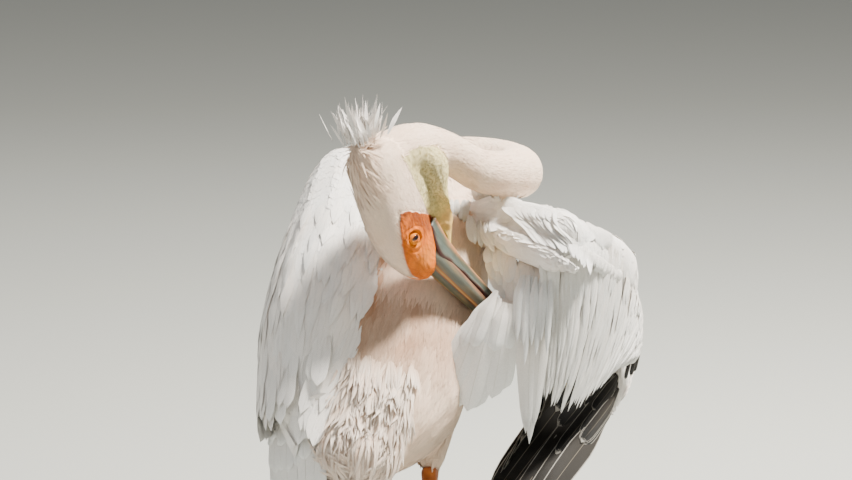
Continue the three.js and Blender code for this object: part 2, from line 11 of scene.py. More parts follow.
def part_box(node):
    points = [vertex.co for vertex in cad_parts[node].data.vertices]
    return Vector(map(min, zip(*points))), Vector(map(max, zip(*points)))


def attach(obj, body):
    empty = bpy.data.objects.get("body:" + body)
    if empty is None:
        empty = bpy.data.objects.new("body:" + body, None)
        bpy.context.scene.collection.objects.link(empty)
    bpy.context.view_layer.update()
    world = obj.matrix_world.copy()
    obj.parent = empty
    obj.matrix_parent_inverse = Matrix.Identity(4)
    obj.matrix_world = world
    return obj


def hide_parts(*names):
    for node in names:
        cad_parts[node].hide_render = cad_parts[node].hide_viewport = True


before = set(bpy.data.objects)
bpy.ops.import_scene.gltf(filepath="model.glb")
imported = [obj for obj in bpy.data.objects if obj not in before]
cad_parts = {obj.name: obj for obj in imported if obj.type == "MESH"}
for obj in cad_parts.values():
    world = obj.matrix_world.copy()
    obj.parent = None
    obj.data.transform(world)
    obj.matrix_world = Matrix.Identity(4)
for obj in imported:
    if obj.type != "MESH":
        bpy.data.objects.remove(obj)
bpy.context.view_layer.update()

# ---------- camera ----------
# A long lens behind the bird and a little to its right, just above its back. Like everything on the bird it
# is placed from the left eye and the head's directions: along the bill, to the bird's left and to its crown.
EYE_IN_HEAD = (-56, 28, 30)
ALONG = Vector((-0.458, -0.5425, -0.703)).normalized()
LEFTWARD = Vector((-0.848, 0.502, 0.165)).normalized()
CROWNWARD = ALONG.cross(LEFTWARD).normalized()
eye_low, eye_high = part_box("eye_left")
eye_off = ALONG * EYE_IN_HEAD[0] + CROWNWARD * EYE_IN_HEAD[1] + LEFTWARD * EYE_IN_HEAD[2]
BILL_BASE = (Vector(eye_low) + Vector(eye_high)) / 2 - eye_off / 1000
STANCE = BILL_BASE - Vector((-80, 96, 432)) / 1000
BEARING, RISE, AWAY = 196, 9, 9.0


def place(x, y, z):
    """Millimetres from the floor under the trunk's middle, as a place in metres."""
    return STANCE + Vector((x, y, z)) / 1000


def seen_from(bearing, rise):
    """The way towards something at this bearing and rise, in degrees."""
    a, e = math.radians(bearing), math.radians(rise)
    return Vector((math.sin(a) * math.cos(e), -math.cos(a) * math.cos(e), math.sin(e)))


def new_piece(name, data):
    piece = bpy.data.objects.new(name, data)
    bpy.context.scene.collection.objects.link(piece)
    return piece


lens = bpy.data.cameras.new("long_lens")
lens.lens = 277.6
lens.sensor_width = 36
lens.clip_end = 100
camera = new_piece("camera", lens)
camera.location = place(-36.4, -26.9, 425.1) + seen_from(BEARING, RISE) * AWAY
camera.rotation_euler = (math.radians(90 - RISE), 0, math.radians(BEARING))
bpy.context.scene.camera = camera

# ---------- floor ----------
# A pale seamless floor, painted matt. It carries the bird's shadow and is no part of the bird.
# Its edge is far beyond what the lens takes in.
FLOOR_HALF = 60


def to_mesh(form, name):
    """The form as a mesh, and the form let go."""
    mesh = bpy.data.meshes.new(name)
    form.to_mesh(mesh)
    form.free()
    return mesh


class Finish:
    """A material whose nodes are made, joined and fed to its shader through here."""

    def __init__(self, name, rough, **settings):
        self.material = bpy.data.materials.new(name)
        self.material.use_nodes = True
        self.tree = self.material.node_tree
        self.shader = self.tree.nodes["Principled BSDF"]
        self.shader.inputs["Roughness"].default_value = rough
        for socket, value in settings.items():
            self.shader.inputs[socket.replace("_", " ")].default_value = value

    def node(self, kind, links, out=0, **settings):
        """One output of a new node whose inputs take other nodes' outputs or plain values."""
        made = self.tree.nodes.new("ShaderNode" + kind)
        for field, value in settings.items():
            setattr(made, field, value)
        for socket, source in links.items():
            if isinstance(source, bpy.types.NodeSocket):
                self.tree.links.new(source, made.inputs[socket])
            else:
                made.inputs[socket].default_value = source
        return made.outputs[out]

    def coords(self):
        return self.node("TexCoord", {}, "Object")

    def noise(self, vector, scale, detail, rough=0.5):
        links = {"Vector": vector, "Scale": scale, "Detail": detail, "Roughness": rough}
        return self.node("TexNoise", links, "Fac")

    def sum(self, a, b):
        return self.node("Math", {0: a, 1: b}, operation="ADD")

    def product(self, a, b):
        return self.node("Math", {0: a, 1: b}, operation="MULTIPLY")

    def minus(self, a, b):
        return self.node("Math", {0: a, 1: b}, operation="SUBTRACT")

    def range(self, value, to_min, to_max, from_min=0.0, from_max=1.0):
        """The value carried from one range to another."""
        links = {"Value": value, "From Min": from_min, "From Max": from_max}
        return self.node("MapRange", {**links, "To Min": to_min, "To Max": to_max})

    def feed(self, socket, source):
        self.tree.links.new(source, self.shader.inputs[socket])

    def toned(self, tone):
        """The colour painted on the mesh, made lighter and darker by this."""
        tint = self.node("Attribute", {}, "Color", attribute_name="tint")
        return self.node("VectorMath", {0: tint, "Scale": tone}, operation="SCALE")

    def bump(self, height, strength, distance):
        self.feed("Normal", self.node("Bump", {"Height": height, "Strength": strength, "Distance": distance}))


form = bmesh.new()
bmesh.ops.create_grid(form, x_segments=1, y_segments=1, size=FLOOR_HALF)
floor = new_piece("floor", to_mesh(form, "floor"))
floor_paint = Finish("floor_paint", 0.95, Base_Color=(0.40, 0.41, 0.38, 1))
floor.data.materials.append(floor_paint.material)

# ---------- lamps and sky ----------
# One large soft key high on the right, two broad weak fills and a pale even sky. A lamp has a bearing and
# a rise in degrees, a distance and a size in metres, a power in watts and a colour.
LAMPS = [
    ("key", 280, 62, 3.2, 0.6, 610, (1.0, 0.95, 0.87)),
    ("fill_left", 150, 34, 3.5, 2.6, 34, (0.97, 0.98, 1.0)),
    ("fill_front", 20, 35, 3.5, 2.6, 18, (0.97, 0.98, 1.0)),
]
for name, bearing, rise, distance, size, power, tint in LAMPS:
    lamp = bpy.data.lights.new(name, "AREA")
    lamp.size = size
    lamp.energy = power
    lamp.color = tint
    holder = new_piece(name, lamp)
    holder.location = place(0, 0, 350) + seen_from(bearing, rise) * distance
    holder.rotation_euler = seen_from(bearing, rise).to_track_quat("Z", "Y").to_euler()
sky = bpy.data.worlds.new("soft_sky")
sky.use_nodes = True
sky.node_tree.nodes["Background"].inputs["Color"].default_value = (0.84, 0.85, 0.84, 1)
sky.node_tree.nodes["Background"].inputs["Strength"].default_value = 0.37
bpy.context.scene.world = sky

# ---------- skin ----------
# One skin over all the bird's flesh, drawn in from the outer form by the depth of the coat. It is bare on
# the face, pouch, legs and feet and feathered everywhere else, and it swells into the knob of the breeding
# season where the forehead meets the bill.
RIGHT_ARM = ["right_upper_arm", "right_forearm", "right_hand", "right_patagium", "right_shoulder_coverts"]
THIGHS = ["right_thigh", "left_thigh"]
TORSO = ["trunk", "neck_lower", "neck_bend", "neck_upper", "head", "pouch"]
TORSO += [*RIGHT_ARM, "left_folded_wing", *THIGHS]
LEGS = ["right_shank", "left_shank", "right_foot", "left_foot"]
ALL_PARTS = TORSO + LEGS
POUCH_PART, HEAD_PART, NECK_PART = (ALL_PARTS.index(part) for part in ("pouch", "head", "neck_upper"))
COAT_DEPTH = {  # how far the skin lies below the outer form, by part; elsewhere it is bare
    "trunk": 0.0048, "left_folded_wing": 0.0045, "right_thigh": 0.0035, "left_thigh": 0.0035,
    "neck_lower": 0.0024, "neck_bend": 0.0020, "neck_upper": 0.0020, "head": 0.0018,
    "right_upper_arm": 0.0028, "right_forearm": 0.0028, "right_hand": 0.0026, "right_patagium": 0.0026,
    "right_shoulder_coverts": 0.0026,
}
BARE_DEPTH = 0.0003
SKIN_CELL, SKIN_SWELL = 0.0038, 0.0005  # the swell makes neighbouring parts run together
FOOT_CELL, FOOT_SWELL = 0.0016, 0.0003
# The throat's skin is stretched between jaw and pouch, and the cheek's folds close the corners of the mouth:
# balls along the bill, to the crown, across, and radius, in millimetres.
THROAT_WEB = [
    (-118, -54, 20, 11), (-104, -48, 19, 12), (-90, -44, 18, 12), (-76, -41, 16, 12), (-62, -38, 14, 12),
    (-48, -34, 12, 12), (-34, -30, 11, 11), (-22, -25, 10, 9),
]
CHEEK_FOLD = [(-34, -8, 19, 6), (-25, -3, 17.5, 6), (-16, -1, 16.5, 5), (-7, 1, 16, 4.5), (3, 1.5, 15.5, 4)]
SHOULDER, ELBOW = place(-76, -112, 444), place(-264, 58, 452)
HEAD_AXES = np.array([ALONG, CROWNWARD, LEFTWARD])


def in_head(f, u, across=0.0):
    """Millimetres along the bill, to the crown and to the left of the bill's base, as a place."""
    return BILL_BASE + (ALONG * f + CROWNWARD * u + LEFTWARD * across) / 1000


def to_head(points):
    """Places as millimetres along the bill, to the crown and to the left of the bill's base."""
    return (np.asarray(points) - np.array(BILL_BASE)) @ HEAD_AXES.T * 1000


def add_to(whole, one):
    """One form moved into another."""
    loose = to_mesh(one, "loose")
    whole.from_mesh(loose)
    bpy.data.meshes.remove(loose)


def ease(form, rounds, near=lambda p: True, verts=None):
    """The form smoothed, all over or where its vertices pass the test."""
    verts = [v for v in form.verts if near(v.co)] if verts is None else verts
    on_all_axes = dict(use_axis_x=True, use_axis_y=True, use_axis_z=True)
    for _ in range(rounds):
        bmesh.ops.smooth_vert(form, verts=verts, factor=0.5, **on_all_axes)


def run_together(nodes, cell, swell, bodies, rounds, webs=()):
    """The outer forms of these parts and the webs between them, remade as closed bodies and eased."""
    form = bmesh.new()
    for f, u, across, radius in webs:
        ball = bmesh.ops.create_icosphere(form, subdivisions=3, radius=radius / 1000)["verts"]
        bmesh.ops.translate(form, verts=ball, vec=in_head(f, u, across))
    for node in nodes:
        part = bmesh.new()
        part.from_mesh(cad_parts[node].data)
        bmesh.ops.remove_doubles(part, verts=part.verts, dist=1e-5)
        part.normal_update()
        for vert in part.verts:
            vert.co += vert.normal * swell
        add_to(form, part)
    rough = new_piece("rough", to_mesh(form, "rough"))
    remake = rough.modifiers.new("remake", "REMESH")
    remake.mode = "VOXEL"
    remake.voxel_size = cell
    made = bmesh.new()
    made.from_mesh(rough.evaluated_get(bpy.context.evaluated_depsgraph_get()).to_mesh())
    bpy.data.objects.remove(rough)
    islands = []
    left_over = set(made.verts)
    while left_over:
        island = {left_over.pop()}
        edge = list(island)
        while edge:
            edge = {e.other_vert(v) for v in edge for e in v.link_edges} & left_over
            left_over -= edge
            island |= edge
        islands.append(island)
    for island in sorted(islands, key=len, reverse=True)[bodies:]:
        bmesh.ops.delete(made, geom=list(island), context="VERTS")
    ease(made, rounds)
    return made


def beside(point, a, b):
    """How far a place is from the straight line between two others."""
    t = max(0.0, min(1.0, (point - a).dot(b - a) / (b - a).length_squared))
    return (point - a.lerp(b, t)).length


webs = THROAT_WEB + [(f, u, way * across, radius) for way in (1, -1) for f, u, across, radius in CHEEK_FOLD]
skin_form = run_together(TORSO + ["eye_left", "eye_right"], SKIN_CELL, SKIN_SWELL, 1, 6, webs)
ease(skin_form, 40, lambda p: (p - in_head(-168, -34)).length < 0.062 and to_head([p])[0, 1] > -74)
ease(skin_form, 14, lambda p: beside(p, SHOULDER, ELBOW) < 0.058 and p.x < SHOULDER.x)
ease(skin_form, 30, lambda p: (p - place(-274, 30, 462)).length < 0.034)
for knee in (place(-62, 2, 216), place(58, 2, 216)):
    ease(skin_form, 40, lambda p: (p - knee).length < 0.052 and p.z > 0.17)

part_points, part_faces, part_of_face = [], [], []
for index, node in enumerate(ALL_PARTS):
    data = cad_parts[node].data
    first = len(part_points)
    part_points.extend(v.co.copy() for v in data.vertices)
    part_faces.extend([first + k for k in p.vertices] for p in data.polygons)
    part_of_face.extend([index] * len(data.polygons))
part_tree = BVHTree.FromPolygons(part_points, part_faces)
part_of_face = np.array(part_of_face)


def parts_at(points):
    """Which part's outer form is nearest to each place, as a number in ALL_PARTS."""
    return part_of_face[[part_tree.find_nearest(p)[2] for p in points]]


def off_eye(h):
    """How far each place in the head's millimetres is from the line through both eyes."""
    return np.hypot(h[:, 0] - EYE_IN_HEAD[0], h[:, 1] - EYE_IN_HEAD[1])


def finer(form, test, rounds, of_parts=None):
    """Faces cut in four where places in the head pass the test, then eased."""
    verts = list(form.verts)
    verts = [v for v, good in zip(verts, test(to_head([v.co for v in verts]))) if good]
    if of_parts:
        verts = [v for v, part in zip(verts, parts_at([v.co for v in verts])) if part in of_parts]
    chosen = set(verts)
    edges = [e for e in form.edges if e.verts[0] in chosen and e.verts[1] in chosen]
    cut = bmesh.ops.subdivide_edges(form, edges=edges, cuts=1, use_grid_fill=True)
    fresh = {g for g in cut["geom_inner"] if isinstance(g, bmesh.types.BMVert)}
    ease(form, rounds, verts=[v for v in fresh | chosen if v.is_valid])


def between(values, low, high):
    return (values > low) & (values < high)


# The head and pouch are made of finer faces, the face of finer ones still, and the lids of the finest.
finer(skin_form, lambda h: between(h[:, 0], -118, 300) & (np.abs(h[:, 2]) < 48) & (np.abs(h[:, 1]) < 96), 3,
      (POUCH_PART, HEAD_PART))
finer(skin_form, lambda h: between(h[:, 0], -104, 22) & between(h[:, 1], -24, 66) & (np.abs(h[:, 2]) < 44), 3)
finer(skin_form, lambda h: (off_eye(h) < 12.5) & between(np.abs(h[:, 2]), 20, 44), 1)
skin_form.normal_update()
skin_mesh = to_mesh(skin_form, "skin")


def read(values, field, width):
    """One field of a mesh's vertices, edges, faces or corners, as an array."""
    out = np.empty(len(values) * width, np.int64 if field in ("vertices", "vertex_index") else np.float64)
    values.foreach_get(field, out)
    return out.reshape(-1, width) if width > 1 else out


def spread(mesh, values, rounds):
    """Values on vertices averaged with their neighbours' again and again."""
    edges = read(mesh.edges, "vertices", 2)
    count = len(mesh.vertices)
    degree = np.maximum(np.bincount(edges.ravel(), minlength=count), 1)
    for _ in range(rounds):
        total = np.bincount(edges[:, 0], values[edges[:, 1]], count)
        total += np.bincount(edges[:, 1], values[edges[:, 0]], count)
        values = (values + total / degree) / 2
    return values


def inside(points, outline):
    """How far each flat place lies inside a closed outline; outside is negative."""
    outline = np.array(outline, float)
    near = np.full(len(points), np.inf)
    crossings = np.zeros(len(points), int)
    for a, b in zip(outline, np.roll(outline, -1, 0)):
        edge = b - a
        t = np.clip(((points - a) @ edge) / (edge @ edge), 0, 1)
        near = np.minimum(near, np.linalg.norm(points - a - t[:, None] * edge, axis=1))
        straddles = (a[1] > points[:, 1]) != (b[1] > points[:, 1])
        slope = (b[0] - a[0]) / (b[1] - a[1] if b[1] != a[1] else 1e-9)
        crossings += straddles & (points[:, 0] < a[0] + (points[:, 1] - a[1]) * slope)
    return np.where(crossings % 2 == 1, near, -near)


def step(values, low, high):
    """0 below low, 1 above high, eased between."""
    t = np.clip((values - low) / (high - low), 0, 1)
    return t * t * (3 - 2 * t)


def wander(points, scale, seed=0.0):
    """Smooth noise from -1 to 1 at each place, over lumps of about 1/scale metres."""
    shift = Vector((seed, 2.3 * seed, 5.1 * seed))
    return np.array([noise.noise(Vector(p) * scale + shift) for p in points])


# The bare face and the bare throat beside the pouch, along the bill and towards the crown from its base.
BARE_FACE = [
    (-97, 19), (-87, 30), (-70, 42), (-52, 52), (-37, 57), (-12, 61), (30, 56), (34, -34), (-30, -34),
    (-52, -19), (-74, -2), (-90, 8),
]
BARE_THROAT = [
    (-134, -46), (-135, -58), (-126, -72), (-100, -100), (0, -100), (-10, -30), (-50, -23), (-92, -30),
]


def bare_throat(h, parts):
    """1 on the bare throat, 0 elsewhere."""
    patch = step(inside(h[:, :2], BARE_THROAT), -1, 1) * (h[:, 2] > -30)
    return patch * ((parts == HEAD_PART) | (parts == NECK_PART))


def bareness(h, parts):
    """1 on bare skin, 0 under feathers, for places given in the head's millimetres."""
    frayed = inside(h[:, :2], BARE_FACE) + 1.3 * wander(h / 1000, 150, 15) + 0.8 * wander(h / 1000, 420, 16)
    face = step(frayed, -1.2, 1.2)
    tongue = step(np.abs(h[:, 2]) - np.interp(h[:, 0], [-60, -37, 3], [25, 17, 3]), -1.5, 1.5)
    tongue *= np.where(h[:, 2] < 0, step(52 - h[:, 1], -2, 2), 1)
    face *= np.where(h[:, 1] > 36, tongue, 1)
    face *= (parts == HEAD_PART) | (parts == POUCH_PART)
    legs = np.array([part in LEGS for part in ALL_PARTS])
    return np.maximum(np.maximum(face, bare_throat(h, parts)), (parts == POUCH_PART) | legs[parts])


def throat_net(points):
    """Low along a fine net of wrinkles, high between them."""
    return np.abs(wander(points, 260, 6)) + 0.7 * np.abs(wander(points, 520, 7))


co = read(skin_mesh.vertices, "co", 3)
normals = read(skin_mesh.vertex_normals, "vector", 3)
parts = parts_at(co)
h = to_head(co)
bare = bareness(h, parts)
depth = spread(skin_mesh, np.array([COAT_DEPTH.get(part, BARE_DEPTH) for part in ALL_PARTS])[parts], 8)
bare_head = (bare > 0.02) & (parts == HEAD_PART)
depth = np.where(bare_head, depth * (1 - bare) + BARE_DEPTH * bare, depth)
co -= normals * depth[:, None]

# Knob, brow, cheek and wrinkles of the face.
knob = np.exp(-((h[:, 0] - 2) ** 2 + (h[:, 1] - 38) ** 2) / 260)
brow = np.exp(-((h[:, 0] + 50) ** 2 / 420 + (h[:, 1] - 43) ** 2 / 30))
around = np.arctan2(h[:, 1] - EYE_IN_HEAD[1], h[:, 0] - EYE_IN_HEAD[0])
ring = np.exp(-((off_eye(h) - 12.0) ** 2) / 9)
crease = np.exp(-((off_eye(h) - 17.0 - 1.5 * np.sin(3 * around)) ** 2) / 3)
cheek = np.exp(-((h[:, 0] + 26) ** 2 / 200 + (h[:, 1] - 12) ** 2 / 120))
slanting = h[:, 1] * 0.35 - h[:, 0] * 0.2
wrinkle = np.abs(np.sin((slanting + 2.2 * wander(co, 90, 3)) * 1.1)) ** 3
pebble = wander(co, 420, 1) + 0.6 * wander(co, 900, 2)
face_rise = 3.2 * knob + 0.9 * brow + 0.8 * ring - 0.9 * crease + 0.6 * cheek
face_rise += (0.16 * pebble - 0.38 * wrinkle * (1 - 0.6 * knob)) * step(off_eye(h), 7, 11)

# Folds and net of the pouch. It is drawn up behind the gape, and beyond the gape the empty pouch shrinks to a
# narrow fold under each side of the jaw.
on_pouch = spread(skin_mesh, np.maximum(parts == POUCH_PART, bare_throat(h, parts)), 3)
folds = np.sin(h[:, 2] * 1.15 + 2.4 * wander(co, 45, 4)) * (0.5 + 0.5 * wander(co, 30, 5))
netted = on_pouch * step(-h[:, 0], -20, 60) * (1.3 * (0.4 - throat_net(co)))
pouch_rise = 0.7 * folds + netted - 0.25 * np.abs(wander(co, 300, 8))
rise = face_rise * bare * (parts == HEAD_PART) * (1 - on_pouch) + pouch_rise * on_pouch
co += normals * (rise / 1000)[:, None]
drawn_up = 22 * on_pouch * step(-h[:, 1], 42, 76) * step(h[:, 0], -84, -50) * step(-h[:, 0], 4, 26)
shrunk = 0.85 * np.maximum(0, -13 - h[:, 1]) * on_pouch * step(h[:, 0], -8, 26)
co += np.outer((drawn_up + shrunk) / 1000, CROWNWARD)

# Lids: the skin wraps the ball of the eye and opens in an upright almond over it.
EYE_RADIUS = 8.0
LID = 0.55
OPEN_ALONG, OPEN_UP = 3.0, 6.2
h = to_head(co)
for way in (1, -1):
    f, u, out = h[:, 0] - EYE_IN_HEAD[0], h[:, 1] - EYE_IN_HEAD[1], h[:, 2] * way
    off = np.hypot(f, u)
    ball = EYE_IN_HEAD[2] + np.sqrt(np.maximum(0, (EYE_RADIUS + LID) ** 2 - off**2))
    gap = np.hypot((f + 1.7 + 0.16 * u) / OPEN_ALONG, u / OPEN_UP)
    lid = ball + 0.4 * np.exp(-(((gap - 1.18) / 0.13) ** 2))
    hidden = EYE_IN_HEAD[2] + np.sqrt(np.maximum(0, EYE_RADIUS**2 - off**2)) - 3.0
    lid = np.where(gap < 1.06, ball - 0.4, lid)
    lid = np.where(gap < 1, hidden, lid)
    hold = 1 - step(off, 8.2, 12.5)
    wanted = np.where(gap < 1.1, lid, out * (1 - hold) + lid * hold)
    h[:, 2] = np.where((off < 13) & between(out, 18, 46), wanted * way, h[:, 2])
co = np.array(BILL_BASE) + (h / 1000) @ HEAD_AXES
skin_mesh.vertices.foreach_set("co", co.ravel())
skin_mesh.update()

# Legs and feet are thin webs and toes, so they are remade on a finer cell and set into the thighs.
leg_form = run_together(LEGS, FOOT_CELL, FOOT_SWELL, 2, 4)
leg_form.normal_update()
for vert in leg_form.verts:
    scute = noise.cell(vert.co * 260)
    vert.co -= vert.normal * (BARE_DEPTH + 0.0002 * scute)
    vert.co.z = max(vert.co.z, 0.0)
both = bmesh.new()
both.from_mesh(skin_mesh)
add_to(both, leg_form)
bmesh.ops.triangulate(both, faces=[f for f in both.faces if len(f.verts) > 4])
both.to_mesh(skin_mesh)
both.free()
skin = new_piece("skin", skin_mesh)
skin_mesh.shade_smooth()


def srgb(*rgb):
    """A colour given on the usual 0 to 255 scale, as light."""
    c = np.array(rgb, float) / 255
    return np.where(c <= 0.04045, c / 12.92, ((c + 0.055) / 1.055) ** 2.4)


def blend(a, b, share):
    """From one colour or list of colours to another by each share."""
    share = np.clip(share, 0, 1)[:, None]
    return a * (1 - share) + b * share


WHITE = srgb(240, 240, 237)
ROSY = srgb(242, 218, 194)
BLUSH = srgb(238, 198, 168)
CREAM = srgb(238, 222, 190)
TAN_STAIN_AND_SHADE = srgb(190, 146, 104)
BACK_SHADOW_AND_STAIN = srgb(160, 120, 90)
SEAM_PAINTED_SHADE = srgb(190, 132, 88)
TEMPLE_PINK = srgb(240, 214, 196)
FACE_ORANGE = srgb(224, 110, 0)
FACE_RED = srgb(140, 62, 0)
FACE_PAINTED_HIGHLIGHT = srgb(238, 142, 40)
KNOB_PAINTED_SHADE = srgb(184, 88, 18)
FURROW_PAINTED_SHADE = srgb(150, 66, 14)
GAPE_RED = srgb(92, 34, 22)
EYE_RING = srgb(226, 134, 0)
THROAT_SKIN = srgb(212, 198, 148)
THROAT_CREASE = srgb(132, 114, 62)
POUCH_YELLOW = srgb(224, 202, 116)
POUCH_FLUSH = srgb(228, 156, 88)
LEG_ORANGE = srgb(196, 112, 48)
LEG_BROWN = srgb(150, 76, 34)
WEB_YELLOW = srgb(222, 168, 92)
TRUNK_START = np.array(place(0, -178, 486))
TRUNK_END = np.array(place(0, 168, 174))
TRUNK_LONG = np.linalg.norm(TRUNK_END - TRUNK_START)
REARWARD = (TRUNK_END - TRUNK_START) / TRUNK_LONG
BACKWARD_UP = np.array([0, 0.67, 0.743]) / np.linalg.norm([0, 0.67, 0.743])


def on_trunk(points):
    """Share of the way along the trunk, and metres across and up from its middle line."""
    off = np.asarray(points) - TRUNK_START
    return off @ REARWARD / TRUNK_LONG, off[:, 0], off @ BACKWARD_UP


def face_colours(points, h, fine):
    """Orange, red towards the throat, yellow round the eye, dark along the gape; a painted highlight before
    the eye, painted shade low on the knob and in its furrows.
    """
    inner = inside(h[:, :2], BARE_FACE)
    toward_throat = step(-h[:, 1] - 0.35 * h[:, 0], -14, 26)
    red = toward_throat * (0.95 + 0.9 * fine) + 0.45 * step(-inner, -7, 0) + 0.35 * fine
    face = blend(FACE_ORANGE, FACE_RED, red)
    face = blend(face, EYE_RING, np.exp(-(((off_eye(h) - 8.6) / 3.4) ** 2)) * (0.9 + 0.4 * fine))
    # A painted highlight: a lighter, yellower patch between the eye and the knob.
    shine = np.exp(-((h[:, 0] + 22) ** 2 + (h[:, 1] - 32) ** 2) / 300)
    face = blend(face, FACE_PAINTED_HIGHLIGHT, 0.6 * shine)
    # Painted shade: the knob's underside, towards the crown, is browner.
    low = step(h[:, 1], 44, 56) * step(-np.abs(h[:, 0] + 4), -30, -6)
    face = blend(face, KNOB_PAINTED_SHADE, 0.75 * low)
    # Painted shade in the face's furrows: fine dark brown lines.
    furrow_shade = np.abs(np.sin((h[:, 1] * 0.5 + h[:, 0] * 0.12 + 3.0 * wander(points, 60, 18)) * 0.9)) ** 10
    face = blend(face, FURROW_PAINTED_SHADE, 0.28 * furrow_shade * step(off_eye(h), 9, 14))
    corner = np.interp(h[:, 0], [-44, -39, -23, -6, 30], [-24, -15, -5, 1, 2])
    gape = np.exp(-(((h[:, 1] - corner) / 3.2) ** 2)) * step(h[:, 0], -44, -38)
    return blend(face, GAPE_RED, 0.95 * gape)


def throat_colours(points, h, fine, cloud):
    """Pale loose skin with a net of creases, yellower towards the pouch."""
    loose = blend(THROAT_SKIN, POUCH_YELLOW, step(h[:, 0], -80, -20))
    flushed = step(h[:, 2], 10, 17) * step(h[:, 0], -44, -20) * step(-h[:, 0], -60, 0)
    loose = blend(loose, POUCH_FLUSH, 0.45 * flushed)
    crease = np.exp(-((throat_net(points) / 0.3) ** 2)) * step(-h[:, 0], 10, 60)
    return blend(loose, THROAT_CREASE, 0.85 * crease) * (1 + 0.12 * fine + 0.08 * cloud)[:, None]


def markings(points, parts):
    """The bird's colours, the same for skin and coat: rosy body, white wings, bare orange face, with painted
    shade on the back, rump, left wing's seam and face and a painted highlight on the face.
    """
    names = np.array(ALL_PARTS)[parts]
    h = to_head(points)
    share, across, up = on_trunk(points)
    cloud = wander(points, 28, 9)
    fine = wander(points, 110, 10)
    wing = np.isin(names, RIGHT_ARM + ["left_folded_wing"])
    body = names == "trunk"
    rgb = np.where(wing[:, None], WHITE, ROSY)
    blush = np.where(body, 0.35 + 0.35 * cloud, np.where(wing, 0.10 + 0.12 * cloud, 0.18 + 0.3 * cloud))
    rgb = blend(rgb, BLUSH, blush)
    breast = body * step(-up, 0.02, 0.09) * step(-share, -0.45, 0.1)
    rgb = blend(rgb, CREAM, 0.75 * breast)
    # Painted shadow of the head and neck on the middle of the back, mixed with real staining: darker and
    # browner there.
    back_shadow_and_stain = body * step(share, 0.50, 0.58) * step(-share, -0.82, -0.72) * step(up, 0.0, 0.05)
    rgb = blend(rgb, BACK_SHADOW_AND_STAIN, back_shadow_and_stain * (0.74 + 0.3 * cloud))
    # The rump is tan: partly real staining, partly painted shade among its loose locks.
    rump = body * step(share, 0.80, 0.95) * step(up, -0.01, 0.05)
    rgb = blend(rgb, TAN_STAIN_AND_SHADE, np.minimum(rump * (0.20 + 0.8 * fine), 0.6))
    vent = body * step(share, 1.02, 1.12) * step(-np.abs(across + 0.02), -0.05, -0.02)
    rgb = blend(rgb, TAN_STAIN_AND_SHADE, 0.6 * vent)
    # Painted shade: a thin brown line along the crease where the left wing meets the back.
    angle = np.degrees(np.arctan2(across, up))
    seam_angle = np.interp(share, [0.0, 0.05, 0.16, 0.36, 0.57, 0.78, 0.98], [34, 24, 10, -2, -3, 6, 22])
    seam_shade = np.exp(-((angle - seam_angle + 0.5 + 1.5 * fine) ** 2) / 1.1) * step(share, 0.28, 0.38)
    seam_shade *= step(-share, -0.66, -0.58) * (body | wing) * (up > 0)
    rgb = blend(rgb, SEAM_PAINTED_SHADE, 0.7 * seam_shade)
    temple = (names == "head") * step(-np.abs(inside(h[:, :2], BARE_FACE) + 8), -9, 0)
    rgb = blend(rgb, TEMPLE_PINK, 0.5 * temple)
    rgb = blend(rgb, face_colours(points, h, fine), bareness(h, parts))
    throat = np.maximum(bare_throat(h, parts), parts == POUCH_PART)
    rgb = blend(rgb, throat_colours(points, h, fine, cloud), throat)
    legs = blend(LEG_ORANGE, LEG_BROWN, 0.5 + 0.6 * fine)
    legs = blend(legs, WEB_YELLOW, step(-points[:, 2], -0.02, -0.004) * 0.5)
    rgb = np.where(np.isin(names, LEGS)[:, None], legs, rgb)
    return np.clip(rgb, 0, 1)


def paint(mesh, rgb):
    """One colour on each vertex."""
    layer = mesh.color_attributes.new("tint", "FLOAT_COLOR", "POINT")
    rgba = np.column_stack([np.clip(rgb, 0, 1), np.ones(len(rgb))])
    layer.data.foreach_set("color", rgba.astype(np.float32).ravel())


co = read(skin_mesh.vertices, "co", 3)
parts = parts_at(co)
paint(skin_mesh, markings(co, parts))
skin_bare = bareness(to_head(co), parts)
skin_mesh.attributes.new("bare", "FLOAT", "POINT").data.foreach_set("value", skin_bare.astype(np.float32))

# The skin's own unwrap, which also says where each feather's root lies.
skin_mesh.uv_layers.new(name="OFBake")
bpy.context.view_layer.objects.active = skin
skin.select_set(True)
bpy.ops.object.mode_set(mode="EDIT")
bpy.ops.mesh.select_all(action="SELECT")
bpy.ops.uv.smart_project(angle_limit=math.radians(66), island_margin=0.002)
bpy.ops.object.mode_set(mode="OBJECT")
skin.select_set(False)


def dress(piece, finish, slot, *nodes):
    """A piece's finish, what it is carried by and what it stands for; the slot is not used."""
    piece.data.materials.append(finish.material)
    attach(piece, "root")
    if nodes:
        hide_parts(*nodes)
    return piece


# Matt where feathers grow, with pores, mottling and a slight gloss where it is bare.
skin_finish = Finish(
    "bare_and_downy_skin", 0.6, Subsurface_Weight=0.03, Subsurface_Radius=(0.004, 0.0016, 0.0008),
    Specular_IOR_Level=0.22,
)
bare_share = skin_finish.node("Attribute", {}, "Fac", attribute_name="bare")
coords = skin_finish.coords()
pores = skin_finish.node(
    "TexVoronoi", {"Vector": coords, "Scale": 900.0}, "Distance", feature="DISTANCE_TO_EDGE"
)
mottle = skin_finish.noise(coords, 160.0, 5.0)
skin_finish.feed("Base Color", skin_finish.toned(skin_finish.range(mottle, 0.86, 1.08, 0.3, 0.7)))
relief = skin_finish.sum(skin_finish.product(skin_finish.range(pores, 0.0, 1.0, 0.0, 0.12), 0.5), mottle)
skin_finish.bump(skin_finish.product(relief, skin_finish.sum(bare_share, 0.25)), 0.7, 0.0009)
skin_finish.feed("Roughness", skin_finish.range(skin_finish.minus(bare_share, mottle), 0.85, 0.42, -0.6, 0.6))
skin_mesh.materials.clear()
dress(skin, skin_finish, "plumage_rosy", *TORSO, *LEGS)

